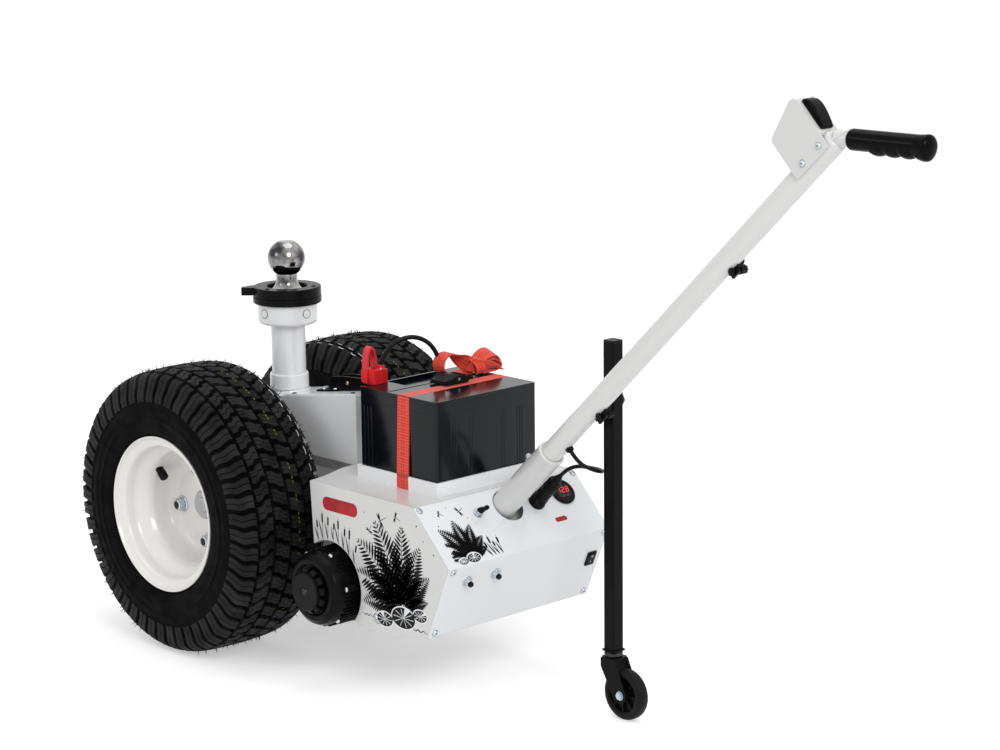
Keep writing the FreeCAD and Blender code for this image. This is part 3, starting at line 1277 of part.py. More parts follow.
os.makedirs("parts", exist_ok=True)
for obj in PARTS:
    obj.Shape.exportStep("parts/%s.step" % obj.Label)
    print("%-18s %d solid(s) %10.1f mm3" % (obj.Label, len(obj.Shape.Solids), obj.Shape.Volume))
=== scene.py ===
import json
import math
import random

import bmesh
import bpy
from mathutils import Matrix, Vector
from mathutils.geometry import tessellate_polygon


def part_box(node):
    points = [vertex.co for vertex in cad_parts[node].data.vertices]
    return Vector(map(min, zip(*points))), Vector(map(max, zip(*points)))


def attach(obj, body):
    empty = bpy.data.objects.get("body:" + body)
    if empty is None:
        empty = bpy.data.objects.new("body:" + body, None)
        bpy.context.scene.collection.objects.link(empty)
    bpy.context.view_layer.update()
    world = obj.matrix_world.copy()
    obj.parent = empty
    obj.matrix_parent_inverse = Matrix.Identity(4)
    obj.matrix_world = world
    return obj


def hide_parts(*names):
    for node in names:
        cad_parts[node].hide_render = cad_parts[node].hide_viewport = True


# Electric trailer dolly. +X runs from the axle to the hand grip, -Y is the side with the gear
# drum, and +Z is up. Sizes below are in millimetres unless a name says otherwise, and places
# named "x" are measured back from the axle.

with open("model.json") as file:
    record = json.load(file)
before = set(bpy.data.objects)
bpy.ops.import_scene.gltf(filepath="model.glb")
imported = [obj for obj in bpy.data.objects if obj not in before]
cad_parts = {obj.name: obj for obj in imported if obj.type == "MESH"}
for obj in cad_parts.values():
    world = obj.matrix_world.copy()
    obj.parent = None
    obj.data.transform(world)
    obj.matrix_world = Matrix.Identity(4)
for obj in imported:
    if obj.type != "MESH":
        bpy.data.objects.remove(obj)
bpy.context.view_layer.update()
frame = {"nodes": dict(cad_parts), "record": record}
NODES = frame["nodes"]
MM = 0.001
random.seed(7)


# ---------------------------------------------------------------- places
def centre(node):
    low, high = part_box(node)
    return (low + high) / 2


def size_mm(node):
    low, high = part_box(node)
    return (high - low) / MM


AXLE = centre("tyre_right")
TYRE_R = size_mm("tyre_right").z / 2
TYRE_W = size_mm("tyre_right").y
HANDLE_MOUNT = [m for m in frame["record"]["mounts"] if m["name"] == "handle_clamp"][0]
HANDLE_ANGLE = math.degrees(math.asin(HANDLE_MOUNT["axis"][2]))
HANDLE_TILT = 90 - HANDLE_ANGLE
CLAMP_S = 693.5          # the handle's mount, along the handle from the upper panel
PANEL_LEAN = 23.2        # the lower rear panel's lean from upright
UPPER_PANEL = 107.5      # the upper rear panel, along its slope
FRAME_SLOPE = 8.6        # the frame box's top, in degrees up towards the body


def at(x, y, z):
    """A place behind the axle as a point of the frame, in metres."""
    return Vector((AXLE.x + x * MM, y * MM, z * MM))


def local_mm(point):
    """A point of the frame as a place behind the axle, in millimetres."""
    return Vector(((point.x - AXLE.x) / MM, point.y / MM, point.z / MM))


def corners(node):
    """A node's lowest and highest places."""
    return [local_mm(corner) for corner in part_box(node)]


def spin(degrees, axis="Z"):
    return Matrix.Rotation(math.radians(degrees), 4, axis)


def shift(x, y, z):
    return Matrix.Translation(Vector((x, y, z)) * MM)


def tilted(origin, degrees):
    """Local Z leans towards +X by an angle from upright, and local X points below it."""
    return Matrix.Translation(origin) @ spin(degrees, "Y")


ALONG = Vector(HANDLE_MOUNT["axis"])
ABOVE = Vector((-ALONG.z, 0, ALONG.x))
HANDLE_FOOT = Vector(HANDLE_MOUNT["pos_m"]) - ALONG * CLAMP_S * MM


def on_handle(along, above=0, side=0):
    """Local Z runs up the handle, and local X points down and away from it."""
    point = HANDLE_FOOT + (ALONG * along + ABOVE * above + Vector((0, side, 0))) * MM
    return tilted(point, HANDLE_TILT)


PANEL_HIGH = corners("rear_panel")[1]
BODY_TOP_Z = PANEL_HIGH.z
KNEE = Vector((PANEL_HIGH.x, 0, BODY_TOP_Z - UPPER_PANEL * ALONG.x))
PANEL_TOP_X = KNEE.x - UPPER_PANEL * ALONG.z
HALF_W = PANEL_HIGH.y


def on_upper_panel(down, side):
    """Local Z stands out of the upper rear panel, and local X points down it."""
    return tilted(at(PANEL_TOP_X, side, BODY_TOP_Z) - ABOVE * down * MM, HANDLE_TILT)


def on_lower_panel(down, side):
    """Local Z stands out of the lower rear panel, and local X points down it."""
    lean = math.radians(PANEL_LEAN)
    downward = Vector((-math.sin(lean), 0, -math.cos(lean)))
    return tilted(at(KNEE.x, side, KNEE.z) + downward * down * MM, 90 + PANEL_LEAN)


def upright(x, y, z):
    return Matrix.Translation(at(x, y, z))


def sideways(x, y, z, side):
    """Local Z points out to a side: -1 for -Y, 1 for +Y. Local X stays along +X."""
    return upright(x, y, z) @ spin(-90 * side, "X")


# ---------------------------------------------------------------- materials
DRIFT = (0.3, 0.7)       # the part of the noise that a change of tone or gloss is spread over


class Look:
    """A new node material, and the steps that give it its finish."""

    def __init__(self, name, slot, colour, roughness, **more):
        self.material = bpy.data.materials.new(name)
        self.material.use_nodes = True
        self.tree = self.material.node_tree
        self.shader = self.tree.nodes["Principled BSDF"]
        self.set(Base_Color=(*colour, 1), Roughness=roughness, **more)

    def set(self, **inputs):
        """Sets inputs of the shader, with _ for the spaces in their names."""
        for name, value in inputs.items():
            self.shader.inputs[name.replace("_", " ")].default_value = value

    def feed(self, name, output):
        self.tree.links.new(output, self.shader.inputs[name])

    def noise(self, scale, detail=4.0):
        """Noise in the object's own coordinates, which are metres."""
        coords = self.tree.nodes.new("ShaderNodeTexCoord").outputs["Object"]
        return new_node(self.tree, "TexNoise", "Fac", Vector=coords, Scale=scale, Detail=detail)

    def mottle(self, dark, light, scale, span=DRIFT):
        """Colour that drifts between two tones."""
        self.feed("Base Color", ramp(self.tree, self.noise(scale), (dark, light), span))

    def uneven_gloss(self, low, high, scale):
        self.feed("Roughness", new_node(
            self.tree, "MapRange", "Result", Value=self.noise(scale), From_Min=DRIFT[0],
            From_Max=DRIFT[1], To_Min=low, To_Max=high))

    def bumps(self, height, strength, distance):
        self.feed("Normal", new_node(self.tree, "Bump", "Normal", Height=height,
                                     Strength=strength, Distance=distance))


def new_node(tree, kind, output, *places, operation=None, **inputs):
    """A new node's output. Its inputs go by place or name, as values or as other outputs."""
    node = tree.nodes.new("ShaderNode" + kind)
    if operation:
        node.operation = operation
    by_name = {name.replace("_", " "): value for name, value in inputs.items()}
    for key, value in [*enumerate(places), *by_name.items()]:
        if isinstance(value, bpy.types.NodeSocket):
            tree.links.new(value, node.inputs[key])
        else:
            node.inputs[key].default_value = value
    return node.outputs[output]


def ramp(tree, source, tones, span):
    """A colour between two tones, as a value runs over a span."""
    node = tree.nodes.new("ShaderNodeValToRGB")
    for stop, tone, position in zip(node.color_ramp.elements, tones, span):
        stop.position = position
        stop.color = (*tone, 1)
    tree.links.new(source, node.inputs["Fac"])
    return node.outputs["Color"]


def shaded(tone, factor):
    return tuple(channel * factor for channel in tone)


def painted(name, slot, colour, roughness, coat=0.0, peel=0.12, shine=0.5):
    """Powder coat: a faint drift of tone, a fine orange peel and a clear gloss."""
    look = Look(name, slot, colour, roughness, Specular_IOR_Level=shine, Coat_Weight=coat,
                Coat_Roughness=0.12)
    look.mottle(shaded(colour, 0.985), colour, 4)
    look.uneven_gloss(roughness * 0.95, roughness * 1.05, 12)
    look.bumps(look.noise(900, 2), peel, 0.0002)
    return look.material


def moulded(name, slot, colour, roughness, grain=0.35, shine=0.5):
    """Moulded plastic or rubber with a fine grain."""
    look = Look(name, slot, colour, roughness, Specular_IOR_Level=shine)
    look.mottle(shaded(colour, 0.75), shaded(colour, 1.2), 60)
    look.uneven_gloss(roughness * 0.85, min(1, roughness * 1.2), 90)
    look.bumps(look.noise(1500, 3), grain, 0.0003)
    return look.material


def metal(name, slot, colour, roughness, streak=0.25):
    """Plated or machined metal with fine drifting gloss."""
    look = Look(name, slot, colour, roughness, Metallic=1.0)
    look.mottle(shaded(colour, 0.85), colour, 50)
    look.uneven_gloss(roughness * 0.7, roughness * 1.4, 120)
    look.bumps(look.noise(700, 5), streak, 0.0001)
    return look.material


def chrome_with_painted_reflection(name, slot, dark, light):
    """Chrome plate with broad soft bands of painted reflection, dark and light, as polished metal
    shows indoors.
    """
    look = Look(name, slot, light, 0.045, Metallic=1.0)
    look.mottle(dark, light, 34, (0.40, 0.62))
    look.uneven_gloss(0.03, 0.08, 60)
    return look.material


def glowing(name, slot, colour):
    """Lit segments behind a dark window, a little brighter in places."""
    look = Look(name, slot, colour, 0.4, Emission_Color=(*colour, 1), Emission_Strength=0.9)
    look.mottle(shaded(colour, 0.7), colour, 200)
    return look.material


def rubber(name, slot, dark, light, shine):
    """Dull tyre rubber, dusty in patches, with a rough skin."""
    look = Look(name, slot, dark, 0.62, Specular_IOR_Level=shine)
    look.mottle(dark, light, 28, (0.38, 0.72))
    look.uneven_gloss(0.5, 0.72, 70)
    look.bumps(look.noise(1100, 6), 0.35, 0.0005)
    return look.material


RIB_PITCH = 0.0023       # the woven strap's ribs and its stitches, in metres
STITCH_PITCH = 0.0046
STITCH_OFF = 0.0024      # from the strap's middle to each row of stitches
STITCH_HALF = 0.00055    # half a stitch's width
STITCH_GAP = 0.35        # the wave's height that a stitch starts at


def webbing(name, slot):
    """Woven strap: cross ribs along its length, their valleys darkened as painted shade, two rows
    of dark stitches, a soft sheen.
    """
    look = Look(name, slot, (0.85, 0.055, 0.025), 0.6, Sheen_Weight=0.2, Specular_IOR_Level=0.3)
    tree = look.tree
    parts = tree.nodes.new("ShaderNodeSeparateXYZ")
    tree.links.new(tree.nodes.new("ShaderNodeTexCoord").outputs["UV"], parts.inputs["Vector"])

    def sums(operation, *inputs):
        return new_node(tree, "Math", "Value", *inputs, operation=operation)

    def wave_along(period):
        turns = sums("MULTIPLY", parts.outputs["Y"], 2 * math.pi / period)
        return new_node(tree, "MapRange", "Result", Value=sums("SINE", turns), From_Min=-1,
                        From_Max=1)

    ribs = wave_along(RIB_PITCH)
    # The ribs' colour follows their bumps: painted shade in the valleys, lighter on the crests.
    rib_valley_shade = ramp(tree, ribs, ((0.62, 0.030, 0.016), (0.86, 0.072, 0.036)), (0.0, 0.5))
    line = sums("COMPARE", sums("ABSOLUTE", parts.outputs["X"]), STITCH_OFF, STITCH_HALF)
    dash = sums("GREATER_THAN", wave_along(STITCH_PITCH), STITCH_GAP)
    blend = tree.nodes.new("ShaderNodeMix")
    blend.data_type = "RGBA"
    blend.inputs["B"].default_value = (0.16, 0.008, 0.006, 1)
    tree.links.new(sums("MULTIPLY", line, dash), blend.inputs["Factor"])
    tree.links.new(rib_valley_shade, blend.inputs["A"])
    look.feed("Base Color", blend.outputs["Result"])
    look.bumps(ribs, 0.8, 0.0006)
    return look.material


# One white powder coat in three copies: WHITE is darkened as painted shade for the body's sides,
# handle and switch box, while POST_WHITE_PAINTED_LIGHT and PANEL_WHITE_PAINTED_LIGHT are
# brightened as painted light for the post, cup, frame and tray, and for the rear panels.
WHITE = painted("white_paint", "white_paint", (0.69, 0.685, 0.68), 0.26, 0.4)
POST_WHITE_PAINTED_LIGHT = painted("post_white_painted_light", "white_paint", (0.85, 0.86, 0.875), 0.28, 0.4)
# SHADOW_GREY is painted shade: the dark rings round the cup's plugs.
SHADOW_GREY = painted("painted_shadow_grey", "white_paint", (0.16, 0.16, 0.165), 0.5)
RIM_WHITE = painted("rim_paint", "rim_paint", (0.84, 0.825, 0.80), 0.3, 0.6)
PANEL_WHITE_PAINTED_LIGHT = painted("panel_paint", "panel_paint", (0.79, 0.81, 0.83), 0.32, 0.4)
BLACK_PAINT = painted("black_paint", "black_metal", (0.004, 0.004, 0.0045), 0.26, 0, 0.3, 0.07)
CASE = painted("battery_case", "battery_case", (0.0022, 0.0038, 0.0062), 0.14, 0, 0.05, 0.22)
WINDOW = painted("meter_window", "black_plastic", (0.004, 0.004, 0.005), 0.12, 0, 0.02, 0.3)
BLACK_PLASTIC = moulded("black_plastic", "black_plastic", (0.005, 0.005, 0.0055), 0.34, shine=0.09)
INK = moulded("ink_black", "black_plastic", (0.003, 0.003, 0.0035), 0.4, 0.1, 0.12)
SOFT_BLACK = moulded("grip_vinyl", "grip_rubber", (0.0025, 0.0022, 0.003), 0.13, 0.04, 0.06)
CORD = moulded("cord_rubber", "cord_rubber", (0.005, 0.005, 0.0055), 0.3, 0.2, 0.14)
RED = moulded("red_plastic", "red_plastic", (0.66, 0.011, 0.015), 0.42, 0.2, 0.3)
RED_SOFT = moulded("red_vinyl", "red_plastic", (0.62, 0.022, 0.030), 0.34, 0.1, 0.4)
PILL = moulded("plate_red", "red_plastic", (0.40, 0.006, 0.014), 0.35, 0.1, 0.3)
CASTER_BLACK = moulded("caster_tread", "caster_tread", (0.008, 0.0075, 0.0085), 0.5, shine=0.12)
YELLOW = moulded("tread_stripe", "tyre", (0.20, 0.22, 0.025), 0.8, shine=0.1)
# EDGE_HIGHLIGHT is painted highlight: white dashes where the edges of the tread blocks catch the
# light.
EDGE_HIGHLIGHT = moulded("tread_edge_highlight", "tyre", (0.50, 0.51, 0.54), 0.8, shine=0.1)
LIT_RED = glowing("meter_digits", "red_plastic", (1.0, 0.03, 0.02))
# CHROME's bands are painted reflection, and its light tone is kept low so that the ball renders
# mid-grey.
CHROME = chrome_with_painted_reflection("chrome", "chrome", (0.05, 0.05, 0.055), (0.42, 0.41, 0.40))
ZINC = metal("zinc", "steel", (0.56, 0.60, 0.64), 0.22)
STEEL = metal("steel", "steel", (0.42, 0.42, 0.43), 0.36)
BRASS = metal("brass", "steel", (0.70, 0.46, 0.16), 0.25)
DARK_METAL = metal("dark_metal", "steel", (0.045, 0.045, 0.048), 0.35, 0.4)
# TYRE and TREAD_PAINTED_LIGHT are one rubber in two copies: the carcass, seen in the gaps between
# the blocks, is darkened as painted shade, and the blocks are lightened as painted light.
TYRE = rubber("tyre_rubber_painted_shade", "tyre", (0.0018, 0.0018, 0.002), (0.0058, 0.0058, 0.0056), 0.03)
TREAD_PAINTED_LIGHT = rubber("tread_rubber_painted_light", "tyre", (0.006, 0.0062, 0.0065), (0.023, 0.0235, 0.024), 0.12)
WEBBING = webbing("webbing", "webbing")


# ---------------------------------------------------------------- mesh building
EDGE_ANGLE = 32          # edges sharper than this are rounded
CORNER_STEPS = 6         # faces round a corner of an outline
WEB_SECTION = ((-1, 0), (-1, 1), (-0.5, 1.06), (0.5, 1.06), (1, 1), (1, 0))
WELD_REACH = 0.00001     # joins a CAD mesh's doubled points, in metres


class Piece:
    """Collects the vertices and faces of one piece, in metres."""

    def __init__(self):
        self.points, self.faces, self.uvs = [], [], []

    def add(self, points, faces, place):
        """Points in millimetres in the place's own axes."""
        start = len(self.points)
        self.points += [place @ (Vector(point) * MM) for point in points]
        self.faces += [tuple(start + index for index in face) for face in faces]

    def turned(self, profile, place, segments, closed=False):
        """A profile of (radius, height) turned about local Z. Zero radius makes a pole."""
        points, rings = [], []
        for radius, height in profile:
            ring = polygon(segments, radius) if radius > 1e-6 else [(0, 0)]
            rings.append([len(points) + step % len(ring) for step in range(segments + 1)])
            points += [(x, y, height) for x, y in ring]
        faces = []
        for low, high in zip(rings, rings[1:] + rings[:closed]):
            for i in range(segments):
                face = dict.fromkeys((low[i], low[i + 1], high[i + 1], high[i]))
                if len(face) > 2:
                    faces.append(tuple(face))
        self.add(points, faces, place)

    def prism(self, outline, low, high, place):
        """An outline of (x, y) raised from one height to another along local Z."""
        count = len(outline)
        points = [(x, y, z) for z in (low, high) for x, y in outline]
        caps = [range(count - 1, -1, -1), range(count, 2 * count)]
        self.add(points, walls(0, count, count) + caps, place)

    def box(self, length, width, height, place):
        """A box centred on local X and Y that stands on the local floor."""
        outline = rectangle(-length / 2, length / 2, -width / 2, width / 2)
        self.prism(outline, 0, height, place)

    def framed_plate(self, outline, hole, low, high, place):
        """A plate with one hole, both as closed outlines of (x, y)."""
        triangles = tessellate_polygon([[Vector((*point, 0)) for point in loop]
                                        for loop in (outline, hole)])
        flat = outline + hole
        count = len(flat)
        faces = [tuple(face) for face in triangles]
        faces += [tuple(index + count for index in reversed(face)) for face in triangles]
        for start, size in ((0, len(outline)), (len(outline), len(hole))):
            faces += walls(start, count + start, size)
        self.add([(x, y, z) for z in (low, high) for x, y in flat], faces, place)

    def lofted(self, rings, capped):
        """Rings of points of the frame in metres, each joined to the next."""
        start, count = len(self.points), len(rings[0])
        last = start + (len(rings) - 1) * count
        self.points += [point for ring in rings for point in ring]
        for low in range(start, last, count):
            self.faces += walls(low, low + count, count)
        if capped:
            self.faces += [tuple(range(start + count - 1, start - 1, -1)),
                           tuple(range(last, last + count))]

    def swept(self, path, section, up):
        """A closed section of (side, height) carried along points of the frame in metres."""
        rings = []
        for index, point in enumerate(path):
            before, after = path[max(index - 1, 0)], path[min(index + 1, len(path) - 1)]
            forward = (after - before).normalized()
            side = forward.cross(up).normalized()
            rise = side.cross(forward).normalized()
            rings.append([point + (side * x + rise * y) * MM for x, y in section])
        self.lofted(rings, capped=False)

    def band(self, path, across, thickness):
        """A flat band of webbing along (point, across direction) steps, with its UVs in metres."""
        rings, along, last = [], 0.0, len(path) - 1
        for index, (point, side) in enumerate(path):
            before, after = path[max(index - 1, 0)][0], path[min(index + 1, last)][0]
            rise = side.cross((after - before).normalized()).normalized()
            if index:
                along += (point - before).length if index == last else (after - before).length / 2
            rings.append([point + (side * share * across / 2 + rise * height * thickness) * MM
                          for share, height in WEB_SECTION])
            self.uvs += [(share * across / 2 * MM, along) for share, height in WEB_SECTION]
        self.lofted(rings, capped=True)

    def make(self, name, material, body="root", bevel=0.0, sharp=35, slot=None, replaces=None):
        """Makes the piece, rides it on its body, and may hide the CAD node that it stands for."""
        mesh = bpy.data.meshes.new(name)
        mesh.from_pydata([tuple(point) for point in self.points], [], self.faces)
        shell = bmesh.new()
        shell.from_mesh(mesh)
        bmesh.ops.recalc_face_normals(shell, faces=shell.faces)
        shell.to_mesh(mesh)
        shell.free()
        mesh.materials.append(material)
        if self.uvs:
            layer = mesh.uv_layers.new(name="UVMap")
            for loop in mesh.loops:
                layer.data[loop.index].uv = self.uvs[loop.vertex_index]
        mesh.shade_smooth()
        mesh.set_sharp_from_angle(angle=math.radians(sharp))
        piece = new_object(name, mesh)
        if bevel:
            soften(piece, bevel)
        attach(piece, body)
        if replaces:
            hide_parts(replaces)
        return piece


def new_object(name, data):
    thing = bpy.data.objects.new(name, data)
    bpy.context.scene.collection.objects.link(thing)
    return thing


def soften(piece, width):
    """Rounds the piece's sharp edges by a width in millimetres."""
    bevel = piece.modifiers.new("edges", "BEVEL")
    bevel.width = width * MM
    bevel.segments = 2
    bevel.limit_method = "ANGLE"
    bevel.angle_limit = math.radians(EDGE_ANGLE)
    bevel.harden_normals = True


def dress(node, material, bevel=0.0, welded=True):
    """Gives a CAD node its finish and rounds its edges."""
    piece = NODES[node]
    piece.data.materials.clear()
    piece.data.materials.append(material)
    if bevel and welded:
        piece.modifiers.new("weld", "WELD").merge_threshold = WELD_REACH
    if bevel:
        soften(piece, bevel)


def walls(low, high, count):
    """The faces between two rings of points, by the numbers of their first points."""
    return [(low + i, low + (i + 1) % count, high + (i + 1) % count, high + i)
            for i in range(count)]


def polar(radius, degrees):
    angle = math.radians(degrees)
    return radius * math.cos(angle), radius * math.sin(angle)


def polygon(count, radius, turn=0):
    return [(radius * math.cos(2 * math.pi * (i + turn) / count),
             radius * math.sin(2 * math.pi * (i + turn) / count)) for i in range(count)]


def near(x, y, *steps):
    """Points of (x, y), each given by its step from one place."""
    return [(x + right, y + up) for right, up in steps]


def arc(x, y, radius, start, end, steps):
    """Points of an arc in degrees, ends included."""
    return near(x, y, *(polar(radius, start + (end - start) * step / steps)
                        for step in range(steps + 1)))


def rectangle(left, right, low, high):
    return [(left, low), (right, low), (right, high), (left, high)]


def rounded_rectangle(length, width, radius, steps=4):
    x, y = length / 2 - radius, width / 2 - radius
    centres = ((x, y, 0), (-x, y, 90), (-x, -y, 180), (x, -y, 270))
    return [p for cx, cy, a in centres for p in arc(cx, cy, radius, a, a + 90, steps)]


def rounded_corners(points, radii):
    """The outline with each corner rounded by its own radius."""
    result = []
    for index, (corner, radius) in enumerate(zip(points, radii)):
        if not radius:
            result.append(corner)
            continue
        here = Vector(corner)
        into = (Vector(points[index - 1]) - here).normalized()
        out = (Vector(points[(index + 1) % len(points)]) - here).normalized()
        half = into.angle(out) / 2
        reach = radius / math.tan(half)
        middle = here + (into + out).normalized() * (radius / math.sin(half))
        start = here + into * reach - middle
        turn = start.angle_signed(here + out * reach - middle)
        result += [tuple(middle + Matrix.Rotation(-turn * step / CORNER_STEPS, 2) @ start)
                   for step in range(CORNER_STEPS + 1)]
    return result


def smooth_through(points, steps):
    """A smooth line through points of any dimension, ends included."""
    result = []
    padded = [points[0], *points, points[-1]]
    for index in range(len(points) - 1):
        for step in range(steps):
            t = step / steps
            result.append(tuple(
                0.5 * (2 * q + (r - p) * t + (2 * p - 5 * q + 4 * r - s) * t * t
                       + (3 * q - p - 3 * r + s) * t * t * t)
                for p, q, r, s in zip(*padded[index:index + 4])))
    return result + [tuple(points[-1])]


def flipped(profile):
    """The profile's mirror image across height zero, run back the other way."""
    return [(radius, -height) for radius, height in reversed(profile)]


# ---------------------------------------------------------------- tyres
PITCHES = 50             # tread blocks round a tyre
PITCH = 2 * math.pi * TYRE_R / PITCHES
STAGGER = PITCH * 0.35   # the inboard half's blocks against the outer half's
LUG = 8.5                # height of a tread block at the crown
LUG_FADE = 62.0          # where its height starts to fade, along the section from the crown
LUG_END = 112.0          # where a shoulder block ends
LUG_LEAST = 1.2          # the height that it ends at
LUG_ROOT = 0.8           # how deep blocks are set into the carcass
WEAR = 0.5               # a block's rounded top edge
WAVE_START = 61.5        # a shoulder block's edges
WAVE_STEPS = 10
HAIRS = 16               # mould hairs in each pitch
LINE_BREAK = 7           # every seventh pitch has no painted line,
LINE_MISSED = 0.3        # and nor has this share of the other blocks
SECTION = smooth_through(
    near(0, TYRE_R, (0, 0), (26, -0.5), (51.8, -2), (63, -4.6), (70.8, -9), (76, -16),
         (78.8, -26), (81, -38), (TYRE_W / 2, -50), (TYRE_W / 2, -60)), 6)
LENGTHS = [0.0]
for section_start, section_end in zip(SECTION, SECTION[1:]):
    LENGTHS.append(LENGTHS[-1] + math.dist(section_start, section_end))


def section_at(along, lift):
    """The tyre's section at a distance from the crown: (across, radius), moved out by a lift."""
    length = min(abs(along), LENGTHS[-1] - 0.01)
    index = max(i for i, value in enumerate(LENGTHS[:-1]) if value <= length)
    (a, b), (c, d) = SECTION[index:index + 2]
    step = LENGTHS[index + 1] - LENGTHS[index]
    share = (length - LENGTHS[index]) / step
    across = a + (c - a) * share + (b - d) / step * lift
    radius = b + (d - b) * share + (c - a) / step * lift
    return (across if along >= 0 else -across), radius


def lug_height(along):
    """Tread blocks are full height on the crown and fade out on the sidewall."""
    return LUG if abs(along) < LUG_FADE else max(
        LUG_LEAST, LUG * (2 - abs(along) / LUG_FADE))


def tread_point(round_by, along, lift):
    across, radius = section_at(along, lift)
    angle = round_by / TYRE_R
    return (radius * math.cos(angle), radius * math.sin(angle), across)


def tread_block(piece, place, lead, trail):
    """A raised block between two edges of (round, along) points, with a worn top edge."""
    loop = lead + trail[::-1]
    middle = sum(c for c, t in loop) / len(loop)
    low, high = sorted((lead[0][1], lead[-1][1]))
    count = len(loop)
    points = [tread_point(c, t, -lug_height(t) - LUG_ROOT) for c, t in loop]
    points += [tread_point(c, t, -WEAR) for c, t in loop]
    points += [tread_point(c + (WEAR if c < middle else -WEAR),
                           min(max(t, low + WEAR), high - WEAR), 0) for c, t in loop]
    faces = walls(0, count, count) + walls(count, 2 * count, count)
    faces += [(2 * count + k, 2 * count + k + 1, 3 * count - 2 - k, 3 * count - 1 - k)
              for k in range(len(lead) - 1)]
    piece.add(points, faces, place)


def zigzag(c, start, end, jog):
    """An edge that runs across a row of blocks with one sideways jog."""
    span = end - start
    return [(c - jog, start), (c - jog * 0.75, start + span * 0.36),
            (c + jog * 0.75, start + span * 0.62), (c + jog, end)]


def wave(c):
    """An edge that snakes down the shoulder and drifts as it fades out."""
    points = []
    for share in [step / WAVE_STEPS for step in range(WAVE_STEPS + 1)]:
        sway = 2.6 * math.sin(2 * math.pi * (share * 1.35 + 0.1)) * (1 - share * 0.6)
        points.append((c + sway + 4.0 * share, WAVE_START + (LUG_END - WAVE_START) * share))
    return points


def tread_rows(phase):
    """The edges of the blocks of one pitch on one half of the tread."""
    rows = []
    for edge, blocks in (
            (lambda c: zigzag(c, 3.0, 28, 4.6), ((-9.0, -3.6), (-2.6, 2.8), (3.8, 9.2))),
            (lambda c: zigzag(c + PITCH / 2, 33, 56.5, -4.8), ((-9.8, -0.8), (0.4, 9.4))),
            (wave, ((-9.8, -0.6), (0.6, 9.6)))):
        rows += [[[(c + phase, t) for c, t in edge(side)] for side in block] for block in blocks]
    return rows


def tyre(side_name, side):
    """Carcass, tread blocks, moulding hairs and the painted line of one tyre."""
    place = sideways(0, centre("tyre_" + side_name).y / MM, AXLE.z / MM, side)
    flange = size_mm("rim_" + side_name).x / 2
    bead = size_mm("rim_" + side_name).y / 2 - 4
    wall = TYRE_W / 2
    outside = []
    for along in [step * LUG_END / 28 for step in range(29)]:
        across, radius = section_at(along, -lug_height(along))
        outside.append((radius, across))
    outside += near(TYRE_R, wall, (-58, -0.5), (-60, 0), (-62, -0.6))
    outside += near(flange, wall, (30, -0.6), (28.5, 0.2), (27, -0.6), (18, -0.9), (12, -1.6),
                    (7, -3), (4.5, -3.4))
    outside += near(flange, bead, (3.6, 3.2), (1.2, 0.2), (-0.2, -1.6), (-5, -4.2), (-9, -5.4),
                    (-12, -7), (-13.2, -9), (-13.2, -bead))
    carcass, tread, stripe, edge_highlight = Piece(), Piece(), Piece(), Piece()
    carcass.turned(flipped(outside) + outside[1:], place, 180, closed=True)
    for pitch in range(PITCHES):
        phase = pitch * PITCH
        for lead, trail in tread_rows(phase):
            tread_block(tread, place, lead, trail)
        for edges in tread_rows(-phase - STAGGER):
            tread_block(tread, place, *([(-c, -t) for c, t in edge] for edge in edges))
        if pitch % LINE_BREAK != 3:
            painted_line(stripe, place, phase)
        white_marks(edge_highlight, place, phase)
    hairs(tread, place)
    # The carcass's darker rubber is painted shade in the gaps, and the blocks' lighter rubber is
    # painted light.
    for piece, name, material, sharp in (
            (carcass, "tyre_carcass_", TYRE, 50), (tread, "tread_blocks_", TREAD_PAINTED_LIGHT, 25),
            (stripe, "tread_line_", YELLOW, 35), (edge_highlight, "tread_marks_", EDGE_HIGHLIGHT, 35)):
        piece.make(name + side_name, material, "wheel_" + side_name, sharp=sharp,
                   replaces="tyre_" + side_name if piece is carcass else None)


def painted_line(piece, place, phase):
    """The coloured line on the tops of the inboard half's first row of blocks."""
    start = 14 + random.uniform(-0.4, 0.4)
    for span in ((-8.4, -4.4), (-1.8, 2.0), (4.6, 8.4)):
        if random.random() >= LINE_MISSED:
            inboard_mark(piece, place, phase, span, (start, start + 1.3))


def white_marks(piece, place, phase):
    """Short white dashes of painted highlight on both sides of the inboard shoulder's groove,
    where the block edges catch the light.
    """
    for reach, offset in (((54.4, 56.0), PITCH / 2), ((62.3, 63.9), 0)):
        left = random.uniform(-8.6, -6.4) + offset
        inboard_mark(piece, place, phase, (left, left + random.uniform(8.0, 14.5)), reach)


def inboard_mark(piece, place, phase, span, reach):
    """A thin mark on the tread's inboard half: the printed line, and the white dashes of painted
    highlight.
    """
    points = []
    for share in (0, 0.25, 0.5, 0.75, 1):
        c = span[0] + (span[1] - span[0]) * share
        bow = 1.1 * math.sin(math.pi * share)
        points += [tread_point(-(c + phase) - STAGGER, -(t + bow), 0.08) for t in reach]
    piece.add(points, [(2 * k, 2 * k + 2, 2 * k + 3, 2 * k + 1) for k in range(4)], place)


